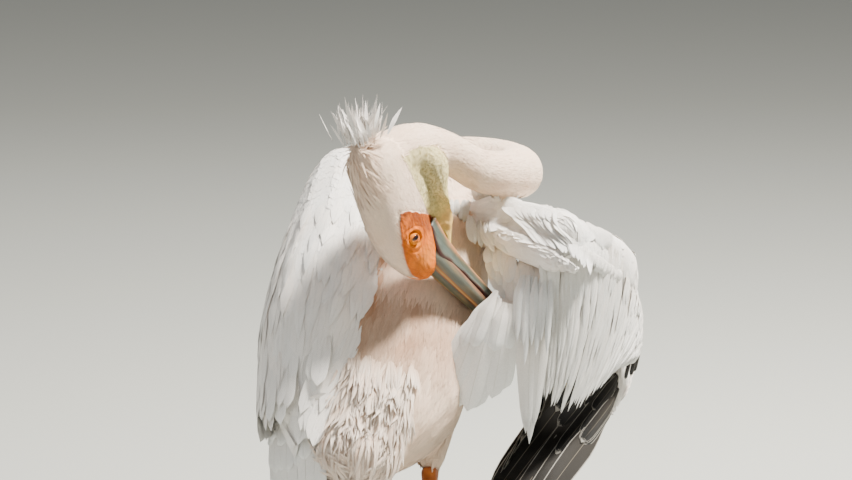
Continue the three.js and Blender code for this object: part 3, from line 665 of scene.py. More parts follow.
# ---------- eyes ----------
# Two wet balls, dark brown with a black pupil, set deep behind the lids. The skin closes over all but
# the front of each, which shines under a film of tears.
IRIS_BROWN, PUPIL_BLACK, EYE_RIM = srgb(52, 24, 14), srgb(8, 6, 6), srgb(120, 90, 66)
eye_along, eye_up, eye_out = EYE_IN_HEAD
eye_form = bmesh.new()
for way in (1, -1):
    made = bmesh.ops.create_uvsphere(eye_form, u_segments=40, v_segments=24, radius=EYE_RADIUS / 1000)
    turn = (LEFTWARD * way).to_track_quat("Z", "Y").to_matrix()
    bmesh.ops.rotate(eye_form, verts=made["verts"], matrix=turn, cent=(0, 0, 0))
    bmesh.ops.translate(eye_form, verts=made["verts"], vec=in_head(eye_along, eye_up, eye_out * way))
eyes = new_piece("eyes", to_mesh(eye_form, "eyes"))
eyes.data.shade_smooth()
off = off_eye(to_head(read(eyes.data.vertices, "co", 3)))
iris = blend(IRIS_BROWN, PUPIL_BLACK, step(-off, -3.4, -2.7))
paint(eyes.data, blend(iris, EYE_RIM, step(off, 5.2, 6.4)))
wet_eye = Finish("wet_eye", 0.06, Coat_Weight=1.0, Coat_Roughness=0.02, IOR=1.38)
flecks = wet_eye.noise(wet_eye.coords(), 1400.0, 3.0)
wet_eye.feed("Base Color", wet_eye.toned(wet_eye.range(flecks, 0.75, 1.25)))
dress(eyes, wet_eye, "eye_gloss", "eye_left", "eye_right")

# ---------- bill ----------
# Long flat horn that grows out of the skull. The upper half has a raised ridge with a groove each side and
# ends in a hooked nail; the lower half is two slender rami that carry the pouch.
RIDGE_GREY = srgb(78, 82, 66)
RIDGE_DARK = srgb(58, 60, 50)
GROOVE_RED = srgb(158, 84, 46)
STRIPE_OCHRE = srgb(176, 138, 80)
SIDE_BLUE = srgb(88, 92, 82)
EDGE_PINK = srgb(128, 94, 70)
GAPE_DARK = srgb(66, 26, 22)
PALATE = srgb(206, 176, 120)
NAIL_RED = srgb(200, 96, 66)
WORN_HORN = srgb(206, 186, 136)
# Stations of the upper half: how far along, height of the middle, half width, ridge height, depth below.
UPPER = [
    (-18, 14, 17, 12, 11), (6, 14, 22, 12, 13), (30, 13.5, 22.5, 11.5, 13), (90, 10, 20, 9.5, 11),
    (180, 4.5, 16, 6, 5.5), (270, 1, 16, 4, 4), (315, 0, 14.4, 4, 4), (329, -4, 6.6, 3.4, 4),
    (335, -12, 3, 2, 2),
]
# Its cross-section from the ridge round to the middle of the palate: across, height, colour.
SECTION = [
    (0.00, 1.00, RIDGE_GREY), (0.16, 0.96, RIDGE_GREY), (0.30, 0.78, RIDGE_DARK), (0.37, 0.62, GROOVE_RED),
    (0.44, 0.60, STRIPE_OCHRE), (0.56, 0.58, STRIPE_OCHRE), (0.62, 0.52, GROOVE_RED), (0.68, 0.50, SIDE_BLUE),
    (0.84, 0.34, SIDE_BLUE), (0.95, 0.08, SIDE_BLUE), (1.00, -0.30, SIDE_BLUE), (1.00, -0.62, EDGE_PINK),
    (0.93, -0.86, GAPE_DARK), (0.82, -0.70, GAPE_DARK), (0.50, -0.55, PALATE), (0.00, -0.62, PALATE),
]
# Stations of each ramus, from the gape to where the two meet under the nail: along, height, across, half
# width, half height; and its colours from the upper edge down.
RAMUS = [
    (-38, -17, 22, 4, 9), (-4, -4.5, 21, 4.5, 13), (14, -3.5, 20.6, 4.5, 12.5), (34, -5, 18.8, 4.2, 9.6),
    (110, -9.5, 14, 3.6, 6.5), (230, -11, 11, 3, 5), (301, -11, 6, 3, 3), (317, -10, 1, 3, 3),
]
RAMUS_BANDS = [
    (0.0, GAPE_DARK), (0.14, GAPE_DARK), (0.24, SIDE_BLUE), (0.5, srgb(80, 92, 86)), (0.74, srgb(98, 98, 80)),
    (0.92, srgb(160, 104, 62)), (1.0, srgb(188, 142, 84)),
]


def run(listed, shares):
    """A smooth run through the listed values, read at shares from 0 to 1."""
    v = np.asarray(listed, float)
    ends = np.vstack([2 * v[:1] - v[1:2], v, 2 * v[-1:] - v[-2:-1]])
    at = np.clip(np.asarray(shares, float), 0, 1) * (len(v) - 1)
    i = np.minimum(at.astype(int), len(v) - 2)
    w = (at - i)[..., None]
    a, b, c, d = ends[i], ends[i + 1], ends[i + 2], ends[i + 3]
    p, q = (c - a) / 2, (d - b) / 2
    return b + w * (p + w * ((3 * (c - b) - 2 * p - q) + w * (2 * (b - c) + p + q)))


def tube(sides, rows):
    """A closed tube of unit rings from z -0.5 to 0.5."""
    form = bmesh.new()
    bmesh.ops.create_cone(form, cap_ends=True, segments=sides, radius1=1, radius2=1, depth=1)
    long_edges = [e for e in form.edges if abs(e.verts[0].co.z - e.verts[1].co.z) > 0.5]
    bmesh.ops.subdivide_edges(form, edges=long_edges, cuts=rows - 1, use_grid_fill=True)
    return form


def share_and_turn(form):
    """How far along the tube each vertex lies, and its turn from the top."""
    unit = np.array([v.co for v in form.verts])
    return unit[:, 2] + 0.5, np.arctan2(unit[:, 0], unit[:, 1])


def moved_into_head(form, f, u, across):
    for vert, place_in_head in zip(form.verts, zip(f, u, across)):
        vert.co = in_head(*place_in_head)
    bmesh.ops.recalc_face_normals(form, faces=form.faces)


def grained(colours, streaked, coarse, fine):
    """Horn's colours, lighter and darker in streaks; coarse and fine are each a scale and a seed."""
    return colours * (1 + 0.22 * wander(streaked, *coarse) + 0.12 * wander(streaked, *fine))[:, None]


upper_form = tube(60, 72)
share, turn = share_and_turn(upper_form)
round_share = np.abs(turn) / np.pi
station = run(UPPER, share)
toward_nail = step(share, 0.9, 1.0)[:, None]
oval = np.column_stack([np.sin(np.abs(turn)), np.cos(turn)])
section = run([s[:2] for s in SECTION], round_share) * (1 - toward_nail) + oval * toward_nail
lift = np.where(section[:, 1] > 0, station[:, 3], station[:, 4])
moved_into_head(upper_form, station[:, 0], station[:, 1] + section[:, 1] * lift,
                np.sign(turn) * section[:, 0] * station[:, 2])
upper_bill = new_piece("bill_upper", to_mesh(upper_form, "bill_upper"))
h = to_head(read(upper_bill.data.vertices, "co", 3)) / 1000
bands = np.array([s[2] for s in SECTION])
last_band = len(SECTION) - 1
at = np.clip(round_share * last_band + 0.7 * wander(h * [0.06, 1, 1], 220, 20), 0, last_band)
i = np.minimum(at.astype(int), last_band - 1)
horn = blend(bands[i], bands[i + 1], at - i)
horn = blend(horn, NAIL_RED, 0.8 * step(share, 0.93, 0.97))
horn = blend(horn, WORN_HORN, 0.35 * step(share, 0.3, 0.9))
horn = blend(horn, STRIPE_OCHRE, 0.5 * wander(h * [0.2, 1, 1], 150, 17))
paint(upper_bill.data, grained(horn, h * [0.12, 1, 1], (260, 12), (800, 19)))

lower_form = bmesh.new()
lower_tint = []
for way in (1, -1):
    ramus = tube(20, 60)
    share, turn = share_and_turn(ramus)
    station = run(RAMUS, share)
    f, u = station[:, 0], station[:, 1] + np.cos(turn) * station[:, 4]
    wide = station[:, 3] * (0.75 + 0.25 * np.sin(3 * np.abs(turn)))
    across = way * (station[:, 2] + np.sin(turn) * wide)
    moved_into_head(ramus, f, u, across)
    streaked = np.column_stack([f * 0.12, u, across]) / 1000
    low = np.clip((1 - np.cos(turn)) / 2 + 0.14 * wander(streaked, 260, 21), 0, 1)
    stops, tones = zip(*RAMUS_BANDS)
    tones = np.column_stack([np.interp(low, stops, channel) for channel in np.transpose(tones)])
    lower_tint.append(grained(tones, streaked, (300, 13), (900, 14)))
    add_to(lower_form, ramus)
lower_bill = new_piece("bill_lower", to_mesh(lower_form, "bill_lower"))
paint(lower_bill.data, np.vstack(lower_tint))

horn_finish = Finish("bill_horn", 0.42, Specular_IOR_Level=0.45, Coat_Weight=0.12, Coat_Roughness=0.35)
along_bill = tuple(ALONG.to_track_quat("Z", "Y").inverted().to_euler())
fibres = horn_finish.node("Mapping", {"Vector": horn_finish.coords(), "Rotation": along_bill})
fibres = horn_finish.node("VectorMath", {0: fibres, 1: (1.0, 1.0, 0.09)}, operation="MULTIPLY")
grain = horn_finish.noise(fibres, 900.0, 6.0, 0.65)
smear = horn_finish.noise(fibres, 170.0, 4.0)
tone = horn_finish.range(horn_finish.sum(grain, smear), 0.74, 1.16, 0.7, 1.3)
horn_finish.feed("Base Color", horn_finish.toned(tone))
horn_finish.bump(grain, 0.35, 0.0006)
horn_finish.feed("Roughness", horn_finish.range(smear, 0.3, 0.6))
for half, part in ((upper_bill, "upper_bill"), (lower_bill, "lower_bill")):
    half.data.shade_smooth()
    dress(half, horn_finish, "bill_horn", part)

# ---------- down of the head and neck ----------
# Velvet of short pointed down that lies off the face, back over the head and down the neck. Like every
# feather it is a thin closed vane laid along the skin from a root of its own.
NECK_LINE = [
    (0, -150, 476), (14, -196, 494), (-35, -220, 503), (-92, -203, 505), (-132, -150, 506), (-143, -74, 514),
    (-116, -10, 527), (-82, 34, 557), (-52, 92, 568), (-22, 140, 552),
]
ARM_WAYS = {  # near the shoulder, and near the elbow
    "right_upper_arm": ((-0.92, 0.05, -0.30), (-0.66, 0.15, -0.72)),
    "right_shoulder_coverts": ((-0.80, 0.10, -0.50), (-0.92, 0.15, -0.30)),
    "right_forearm": ((0.10, 0.55, -0.95), (0.10, 0.55, -0.95)),
    "right_hand": ((0.0, 0.30, -0.95), (0.0, 0.30, -0.95)),
    "right_patagium": ((-0.45, 0.75, 0.1), (-0.45, 0.75, 0.1)),
}
ROOT_SHADE = np.array([0.93, 0.90, 0.87])  # a feather is a little darker and warmer near its root
PATCH = 0.003  # a small feather's patch on the skin's unwrap


def places(listed):
    """A list of millimetres from the floor under the trunk's middle, as an array in metres."""
    return np.array(STANCE) + np.array(listed, float) / 1000


def unit_ways(vectors):
    return vectors / np.maximum(np.linalg.norm(vectors, axis=-1, keepdims=True), 1e-12)


def vane_form(sides, rows):
    """A unit vane: x from -1 to 1 across, y from 0 to 1 from root to tip, z up; its tip drawn to a point."""
    form = tube(sides, rows)
    bmesh.ops.pointmerge(form, verts=[v for v in form.verts if v.co.z > 0.499], merge_co=(0, 0, 0.5))
    bmesh.ops.recalc_face_normals(form, faces=form.faces)
    form.verts.index_update()
    unit = np.array([v.co for v in form.verts])
    corners = [[v.index for v in f.verts] for f in form.faces]
    form.free()
    if sides == 3:  # a flat back under one ridge
        ridge = np.abs(unit[:, 0]) < 0.1
        x = np.where(ridge, 0, unit[:, 0] / math.cos(math.pi / 6))
        z = np.where(ridge, 1.0, -0.2)
    else:
        turn = np.arctan2(unit[:, 1], unit[:, 0])
        x = np.copysign(np.abs(np.cos(turn)) ** 0.8, np.cos(turn))
        z = np.sin(turn)
    ringed = np.hypot(unit[:, 0], unit[:, 1]) > 0.5
    return np.array([x * ringed, unit[:, 2] + 0.5, z * ringed]), corners


def lay(name, form, spines, ups, widths, thick, outline, low_tints, tip_tints, camber, roots_uv=None):
    """One mesh of many vanes, each bent along its own line. Lines and ups are (count, points, 3)."""
    (x, y, z), corners = form
    count, points = spines.shape[:2]
    levels, level_of = np.unique(np.round(y, 5), return_inverse=True)
    at = levels * (points - 1)
    low = np.minimum(at.astype(int), points - 2)
    w = (at - low)[None, :, None]
    line = spines[:, low] * (1 - w) + spines[:, low + 1] * w
    up = ups[:, low] * (1 - w) + ups[:, low + 1] * w
    ahead = np.gradient(line, axis=1)
    across = unit_ways(np.cross(ahead, up))
    up = unit_ways(np.cross(across, ahead))
    wide = (outline(y) * x)[None, :, None] * widths[:, None, None] / 2
    high = z * thick * (1 - 0.6 * y) + camber * (1 - x * x) * outline(y)
    verts = line[:, level_of] + across[:, level_of] * wide + up[:, level_of] * high[None, :, None]
    sizes = np.array([len(c) for c in corners])
    flat = np.concatenate(corners)
    loops = (flat[None, :] + (np.arange(count) * len(x))[:, None]).ravel()
    starts = np.concatenate([[0], np.cumsum(np.tile(sizes, count))[:-1]])
    mesh = bpy.data.meshes.new(name)
    mesh.vertices.add(count * len(x))
    mesh.vertices.foreach_set("co", verts.ravel())
    mesh.loops.add(len(loops))
    mesh.loops.foreach_set("vertex_index", loops.astype(np.int32))
    mesh.polygons.add(len(starts))
    mesh.polygons.foreach_set("loop_start", starts.astype(np.int32))
    mesh.update(calc_edges=True)
    mesh.shade_smooth()
    mesh.set_sharp_from_angle(angle=math.radians(50))
    rgb = low_tints[:, None] * (1 - y)[None, :, None] + tip_tints[:, None] * y[None, :, None]
    paint(mesh, rgb.reshape(-1, 3))
    if roots_uv is not None:
        spot = np.column_stack([x / 2, y - 0.5]) * PATCH
        uv = np.clip((roots_uv[:, None] + spot[None]).reshape(-1, 2), 0, 1)[loops]
    else:  # large feathers get a strip each, its two sides next to each other
        strips = math.ceil(math.sqrt(count))
        under = np.repeat([np.mean(z[c]) < -0.6 for c in corners], sizes)
        u = (0.03 + 0.22 * (x[flat] + 1) + 0.5 * under)[None] + (np.arange(count) % strips)[:, None]
        v = (0.03 + 0.94 * y[flat])[None] + (np.arange(count) // strips)[:, None]
        uv = np.stack([u, v], 2).reshape(-1, 2) / strips
    mesh.uv_layers.new(name="OFBake").data.foreach_set("uv", uv.ravel())
    local = np.tile(np.column_stack([(x + 1) / 2, y]), (count, 1))
    mesh.uv_layers.new(name="vane").data.foreach_set("uv", local[loops].ravel())
    return new_piece(name, mesh)


skin_places = [v.co.copy() for v in skin_mesh.vertices]
skin_tree = BVHTree.FromPolygons(skin_places, [list(p.vertices) for p in skin_mesh.polygons])
face_areas = read(skin_mesh.polygons, "area", 1)
face_middles = read(skin_mesh.polygons, "center", 3)
face_normals = read(skin_mesh.polygons, "normal", 3)
face_parts = parts_at(face_middles)
face_bare = bareness(to_head(face_middles), face_parts)
corner_uv = read(skin_mesh.uv_layers["OFBake"].uv, "vector", 2)
face_uv = np.add.reduceat(corner_uv, read(skin_mesh.polygons, "loop_start", 1).astype(int))
face_uv /= read(skin_mesh.polygons, "loop_total", 1)[:, None]


def roots_on(names, spacing, seed, allow):
    """Roots spread evenly over the skin of these parts: place, normal, part, and place on the unwrap."""
    rng = np.random.default_rng(seed)
    wanted = np.isin(face_parts, [ALL_PARTS.index(n) for n in names]) & (face_bare < 0.5)
    if allow:
        wanted &= allow(face_middles)
    faces = np.flatnonzero(wanted)
    total = face_areas[faces].sum()
    tries = int(total / spacing**2 * 5)
    picked = faces[rng.choice(len(faces), tries, p=face_areas[faces] / total)]
    aside = rng.uniform(-0.5, 0.5, (tries, 3)) * np.sqrt(face_areas[picked])[:, None]
    aside -= face_normals[picked] * (aside * face_normals[picked]).sum(1)[:, None]
    spot = face_middles[picked] + aside
    cell = np.floor(spot / spacing).astype(np.int64)
    order = np.argsort(np.linalg.norm(spot / spacing - cell - 0.5, axis=1))
    key = (cell[order] * [73856093, 19349663, 83492791]).sum(1)
    chosen = order[np.sort(np.unique(key, return_index=True)[1])]
    return spot[chosen], face_normals[picked[chosen]], face_parts[picked[chosen]], face_uv[picked[chosen]]


neck_steps = run(places(NECK_LINE), np.linspace(0, 1, 120))
neck_ways = unit_ways(-np.gradient(neck_steps, axis=0))


def lie(points, parts, rng, stray):
    """Which way each feather lies: off the head down the neck, along the trunk, out over the wings' arms."""
    names = np.array(ALL_PARTS)[parts]
    way = np.tile(REARWARD, (len(points), 1))
    way[names == "head"] = -np.array(ALONG)
    neck = np.char.startswith(names, "neck")
    near = np.argmin(((points[neck][:, None] - neck_steps[None]) ** 2).sum(2), axis=1)
    way[neck] = neck_ways[near]
    way[np.isin(names, THIGHS)] = (0, 0.35, -0.94)
    outward = step(SHOULDER.x - points[:, 0], 0.05, 0.19)
    for name, (near, far) in ARM_WAYS.items():
        here = names == name
        way[here] = blend(np.array(near), np.array(far), outward[here])
    return way + rng.normal(0, stray, (len(points), 3))


def laid_lines(points, normals, ways, lengths, rises, steps, bend=0.3, past=0.35):
    """Lines that leave each root and follow the skin, rising to their tips. Where the skin turns away by more
    than bend they carry on straight, for this share of what is left."""
    spines = np.empty((len(points), steps + 1, 3))
    ups = np.empty((len(points), steps + 1, 3))
    for i in range(len(points)):
        here, up, way = Vector(points[i]), Vector(normals[i]), Vector(ways[i])
        stride = lengths[i] / steps
        spines[i, 0] = here - up * 0.0005
        ups[i, 0] = up
        for k in range(1, steps + 1):
            way = way - up * way.dot(up)
            way.normalize()
            found, normal, _, _ = skin_tree.find_nearest(here + way * stride)
            if normal.dot(up) < bend:
                here = here + way * stride * past
            else:
                if (found - here).length > 0.2 * stride:
                    way = (found - here).normalized()
                here = found
                up = (up + normal).normalized()
            spines[i, k] = here + up * (rises[i] * (k / steps) ** 0.85)
            ups[i, k] = up
    return spines, ups


def curled(spines, ups, curl, rng):
    """Each line bent aside, lifted and rolled at random, more towards its tip."""
    count, points = spines.shape[:2]
    t = np.linspace(0, 1, points)
    along = spines[:, -1] - spines[:, 0]
    aside = np.cross(ups[:, 0], along)
    bend = rng.normal(0, curl, (count, 1, 1)) * (t**2)[None, :, None]
    lift = np.abs(rng.normal(0, curl, (count, 1, 1))) * (t**2)[None, :, None]
    spines = spines + aside[:, None] * bend + ups * lift * np.linalg.norm(along, axis=1)[:, None, None]
    roll = rng.normal(0, 0.5, (count, 1, 1)) * t[None, :, None]
    return spines, unit_ways(ups + unit_ways(aside)[:, None] * roll)


def lanceolate(y):
    return np.clip(0.30 + 1.9 * y - 1.15 * y**2, 0, 1) * np.clip((1 - y) / 0.55, 0, 1) ** 0.8 + 0.02


def vane_finish(name, rough, barb, relief, sheen, contrast, fringe=None, shaft_tone=None, shine=0.3):
    """Feather: its own tint, barbs slanting off the shaft, a matte sheen, and any pale fringe and shaft."""
    made = Finish(name, rough, Specular_IOR_Level=shine, Sheen_Weight=sheen, Sheen_Roughness=0.6)
    uv = made.node("UVMap", {}, uv_map="vane")
    across, along = (made.node("SeparateXYZ", {0: uv}, axis) for axis in (0, 1))
    off_shaft = made.node("Math", {0: made.minus(across, 0.5)}, operation="ABSOLUTE")
    slant = made.minus(along, made.product(off_shaft, 0.35))
    patchy = made.noise(made.coords(), 420.0, 4.0)
    swirl = made.sum(made.product(slant, barb), made.product(patchy, 5.0))
    barbs = made.node("Math", {0: swirl}, operation="SINE")
    shaft = made.range(off_shaft, 1.0, 0.0, 0.006, 0.02)
    grain = made.sum(barbs, made.product(patchy, 3.0))
    base = made.toned(made.range(grain, 1.02 - contrast, 1.02 + contrast * 0.5, 0.0, 3.0))
    if shaft_tone is not None:
        share = made.product(shaft, made.range(along, 1.0, 0.0, 0.75, 1.0))
        base = made.node("MixRGB", {0: share, 1: base, 2: (*shaft_tone, 1)})
    if fringe is not None:
        sides, end = made.product(off_shaft, 2.0), made.product(along, 0.97)
        out = made.node("Math", {0: sides, 1: end}, operation="MAXIMUM")
        edge = made.range(made.sum(out, made.product(patchy, 0.08)), 0.0, 0.7, 0.95, 0.985)
        base = made.node("MixRGB", {0: edge, 1: base, 2: (*fringe, 1)})
    made.feed("Base Color", base)
    made.bump(made.sum(made.product(barbs, 0.5), made.product(shaft, 2.0)), relief, 0.0004)
    made.feed("Roughness", made.range(patchy, rough - 0.1, rough + 0.1))
    return made


down_finish = vane_finish("soft_down", 0.85, 60.0, 0.5, 0.25, 0.12)
plume_finish = vane_finish("contour_feather", 0.8, 160.0, 0.6, 0.2, 0.14)


def coat(name, names, seed, spacing, length, width, rise, form, outline=lanceolate, slot="plumage_rosy",
         finish=plume_finish, stray=0.12, steps=3, shape=None, thick=0.00015, camber=0.0003, brighten=0.03,
         root_stain_and_shade=0.0, curl=0.0, strands=1, allow=None, **edge):
    """One covering of like feathers over these parts, in metres. Strands makes locks of several to a root."""
    rng = np.random.default_rng(seed)
    points, normals, parts, uv = roots_on(names, spacing, seed, allow)
    ways = lie(points, parts, rng, stray)
    lengths = length * rng.uniform(0.85, 1.15, len(points))
    widths = width * rng.uniform(0.85, 1.15, len(points))
    rises = rise * rng.uniform(0.75, 1.15, len(points))
    if shape:
        lengths, widths, rises, ways = shape(points, lengths, widths, rises, ways, rng)
    if strands > 1:
        each = (points, normals, parts, uv, ways, lengths, widths, rises)
        points, normals, parts, uv, ways, lengths, widths, rises = (np.repeat(e, strands, 0) for e in each)
        points = points + rng.normal(0, 0.0012, points.shape)
        ways = ways + rng.normal(0, 0.13, ways.shape)
        lengths = lengths * rng.uniform(0.75, 1.05, len(points))
        rises = rises * rng.uniform(0.75, 1.2, len(points))
    spines, ups = laid_lines(points, normals, ways, lengths, rises, steps, **edge)
    if curl:
        spines, ups = curled(spines, ups, curl, rng)
    tints = markings(points, parts) * rng.uniform(1 - brighten, 1 + brighten, (len(points), 1))
    low = tints * ROOT_SHADE
    # Roots of loose plumes painted tan, partly staining and partly painted shade in the crevices between
    # locks; their tips whiter.
    if root_stain_and_shade:
        low = blend(low, TAN_STAIN_AND_SHADE, rng.uniform(0, 2 * root_stain_and_shade, len(points)))
        tints = (tints + WHITE) / 2
    piece = lay(name, form, spines, ups, widths, thick, outline, low, tints * 1.01, camber, uv)
    return dress(piece, finish, slot)


tuft = vane_form(3, 3)
for name, seed, spacing, length, width, rise in (
    ("head", 25, 0.0024, 0.0080, 0.0021, 0.0009), ("neck_upper", 31, 0.0027, 0.0100, 0.0024, 0.0011),
    ("neck_bend", 30, 0.0028, 0.0105, 0.0026, 0.0012), ("neck_lower", 31, 0.0036, 0.0145, 0.0036, 0.0015),
):
    coat("down_" + name, [name], seed, spacing, length, width, rise, tuft, finish=down_finish, thick=0.0001,
         camber=0.00015, brighten=0.035)

# ---------- nape plumes ----------
# Longer narrow plumes from the back of the head to the neck, loose at their tips. They grow through the
# down from roots of their own.
def swept_back(points, lengths, widths, rises, ways, rng):
    """They stand off more towards the crest."""
    near = step(-to_head(points)[:, 0], 116, 172)
    return lengths * (0.6 + 0.5 * near), widths, rises * (0.15 + 0.85 * near), ways


def on_nape(points):
    h = to_head(points)
    return (h[:, 1] - 0.95 * h[:, 0] > 137) & between(h[:, 0], -192, -112)


coat("plumes_nape", ["head", "neck_upper"], 34, 0.0050, 0.046, 0.0042, 0.0135, vane_form(4, 6), steps=5,
     stray=0.10, shape=swept_back, thick=0.0002, curl=0.05, brighten=0.06, allow=on_nape)

# ---------- body plumes ----------
# Pointed contour feathers over the back, the belly and the thighs. They overlap like tiles, so that each
# hides the roots behind it.
def longer_rearward(points, lengths, widths, rises, ways, rng):
    """Longer plumes towards the rear, shorter ones up by the neck."""
    share = on_trunk(points)[0]
    widths = widths * (0.75 + 0.35 * step(share, 0.1, 0.6))
    return lengths * (0.6 + 0.6 * step(share, 0.05, 0.6)), widths, rises, ways


trunk_plume = vane_form(4, 4)
plume = vane_form(4, 5)
for name, seed, spacing, width, allow in (
    ("plumes_back", 25, 0.0054, 0.0085, lambda p: on_trunk(p)[2] > 0),
    ("plumes_belly", 35, 0.0056, 0.0088, lambda p: on_trunk(p)[2] < 0.002),
):
    coat(name, ["trunk"], seed, spacing, 0.042, width, 0.0021, trunk_plume, shape=longer_rearward, steps=4,
         stray=0.09, brighten=0.06, allow=allow)
coat("plumes_thighs", THIGHS, 26, 0.0052, 0.026, 0.0080, 0.0016, plume)

# ---------- rump and vent plumes ----------
# Low on the back the plumage is loose and tousled: locks of soft plumes part and curl, and a few single ones
# hang behind.
def rump_share(points):
    """1 on the tousled patch, 0 elsewhere."""
    share, across, up = on_trunk(points)
    return step(share, 0.78, 0.86) * step(up, -0.01, 0.04) * step(0.066 - np.abs(across + 0.018), 0, 0.02)


def at_vent(points):
    return (rump_share(points) > 0.6) & (on_trunk(points)[0] > 0.92) & (points[:, 0] < place(-12, 0, 0).x)


def loosely(points, lengths, widths, rises, ways, rng):
    """Locks of a few feathers each that part and curl together."""
    turn = np.column_stack([wander(points, 30, seed) for seed in (61, 62, 63)])
    lift = 0.35 + np.clip(1.3 * wander(points, 45, 64) + 0.5, 0, 1.5)
    return lengths * rng.uniform(0.7, 1.2, len(points)), widths, rises * lift, ways + 0.42 * turn


def wispy(points, lengths, widths, rises, ways, rng):
    """Loose single plumes that hang straight."""
    return lengths * rng.uniform(0.6, 1.1, len(points)), widths, rises, ways + np.array([0, 0.1, -0.9])


def leafy(y):
    return np.clip(0.25 + 1.6 * y, 0, 1) * np.clip((1 - y) / 0.45, 0, 1) ** 0.75 + 0.02


long_plume = vane_form(4, 8)
LOOSE = dict(steps=7, stray=0.08, camber=0.0008, thick=0.0002)
coat("plumes_rump", ["trunk"], 30, 0.0100, 0.060, 0.0060, 0.0066, long_plume, leafy, root_stain_and_shade=0.22, curl=0.07,
     shape=loosely, strands=6, allow=lambda p: rump_share(p) > 0.3, **LOOSE)
coat("plumes_vent", ["trunk"], 31, 0.0150, 0.100, 0.0085, 0.0080, long_plume, root_stain_and_shade=0.12, curl=0.10,
     shape=wispy, allow=at_vent, **LOOSE)

# ---------- coverts of the folded left wing ----------
# Rounded coverts like tiles, long pointed scapulars over them, and a last row that overhangs its rear.
# All are white feathers rooted in the skin of the closed wing.
def rounded(y):
    tip = np.clip((y - 0.62) / 0.38, 0, 1)
    return np.clip(0.35 + 1.6 * y, 0, 1) * np.sqrt(np.clip(1 - tip**2.2, 0, 1)) + 0.02


def by_length(front, middle, rear):
    """Small over the wing's shoulder, long and narrow towards its tips."""
    def shape(points, lengths, widths, rises, ways, rng):
        share = on_trunk(points)[0]
        stops = [0.0, 0.3, 0.62, 1.0]
        lengths = lengths * np.interp(share, stops, [front, front, middle, rear])
        widths = widths * np.interp(share, stops, [0.7, 0.85, 1.05, 1.2])
        return lengths, widths, rises * (1 + 1.5 * step(share, 0.75, 0.95)), ways
    return shape


LEFT_WING = ["left_folded_wing"]
coat("coverts_left_wing", LEFT_WING, 27, 0.0078, 0.052, 0.0180, 0.0014, plume, rounded, "plumage_white",
     shape=by_length(0.55, 1.0, 1.5), steps=4, stray=0.04)
coat("scapulars_left_wing", LEFT_WING, 32, 0.0260, 0.085, 0.0210, 0.0040, vane_form(4, 7),
     slot="plumage_white", shape=by_length(0.5, 1.0, 1.3), steps=6, stray=0.05, camber=0.0012, thick=0.0003,
     bend=0.9, past=1.0, allow=lambda p: between(on_trunk(p)[0], 0.32, 0.88))
coat("coverts_left_rear", LEFT_WING, 33, 0.0125, 0.095, 0.0220, 0.0030, long_plume, rounded, "plumage_white",
     steps=7, stray=0.05, camber=0.0014, thick=0.0003, bend=0.985, past=1.0,
     allow=lambda p: between(on_trunk(p)[0], 0.70, 0.92))

# ---------- small coverts of the lifted right wing ----------
# Short rounded feathers clothe the upper arm, shoulder, the web before the elbow, the forearm and the
# hand. They root in the limb's own skin, and shrink towards the wrist and the rear edge of the elbow.
def shorter_at(ends, reach):
    """Feathers shrink towards these places, where a limb ends."""
    def shape(points, lengths, widths, rises, ways, rng):
        near = np.min([np.linalg.norm(points - np.array(end), axis=1) for end in ends], axis=0)
        share = 0.18 + 0.82 * step(near, 0.25 * reach, reach)
        return lengths * share, widths * (0.4 + 0.6 * share), rises * share, ways
    return shape


ARM = ["right_upper_arm", "right_shoulder_coverts", "right_patagium"]
SMALL_COVERT = dict(outline=rounded, slot="plumage_white", stray=0.06, steps=4, brighten=0.05)
coat("coverts_right_arm", ARM, 28, 0.0060, 0.040, 0.0150, 0.0013, plume, **SMALL_COVERT,
     shape=shorter_at([place(-283, 96, 415), place(-268, 88, 418)], 0.06))
coat("coverts_right_hand", ["right_forearm", "right_hand"], 29, 0.0058, 0.032, 0.0100, 0.0015, plume,
     **SMALL_COVERT, shape=shorter_at([place(-276, -118, 176), place(-276, -200, 344)], 0.07))

# Feathers hide most of the skin, which needs fewer faces there once they are laid.
hidden = skin.vertex_groups.new(name="hidden")
hidden.add([int(i) for i in np.flatnonzero(skin_bare < 0.5)], 1.0, "REPLACE")
thinner = skin.modifiers.new("thinner", "DECIMATE")
thinner.ratio = 0.58
thinner.vertex_group = "hidden"
thinned = bpy.data.meshes.new_from_object(skin.evaluated_get(bpy.context.evaluated_depsgraph_get()))
skin.modifiers.clear()
skin.vertex_groups.clear()
skin.data = thinned
bpy.data.meshes.remove(skin_mesh)
thinned.name = "skin"

# ---------- hanging coverts of the right wing ----------
# Five tiers of long pointed coverts hang from the forearm and hand over the flight feathers. Like each large
# feather they are cambered vanes with a raised shaft, rooted along the wing's bones.
SNOW = srgb(243, 243, 240)
SNOW_SHADE = srgb(226, 218, 208)
BEHIND = (-0.27, 0.95, 0.16)
PLAIN_ROW = dict(start=0.0, reach=1.0, skew=1.0, edge=0.0, jitter=0.02, bulge=0, lift=0, bow=0, toward=BEHIND,
                 base=SNOW_SHADE, tip=SNOW, clear=None, hug=0)
LINE_POINTS = 8
VANE_THICK = 0.0005


def broad_form(columns, rows):
    """A unit vane as a thin closed sheet with a grid of faces on both sides."""
    form = bmesh.new()
    bmesh.ops.create_grid(form, x_segments=columns, y_segments=rows, size=1)
    lower = bmesh.ops.extrude_face_region(form, geom=form.faces[:])["geom"]
    for vert in (g for g in lower if isinstance(g, bmesh.types.BMVert)):
        vert.co.z -= 1
    bmesh.ops.recalc_face_normals(form, faces=form.faces)
    form.verts.index_update()
    unit = np.array([v.co for v in form.verts])
    corners = [[v.index for v in f.verts] for f in form.faces]
    form.free()
    return np.array([unit[:, 0], (unit[:, 1] + 1) / 2, unit[:, 2]]), corners


def direction(listed, s):
    """Which way a run goes at these shares."""
    return unit_ways(run(listed, np.clip(s + 0.01, 0, 1)) - run(listed, np.clip(s - 0.01, 0, 1)))


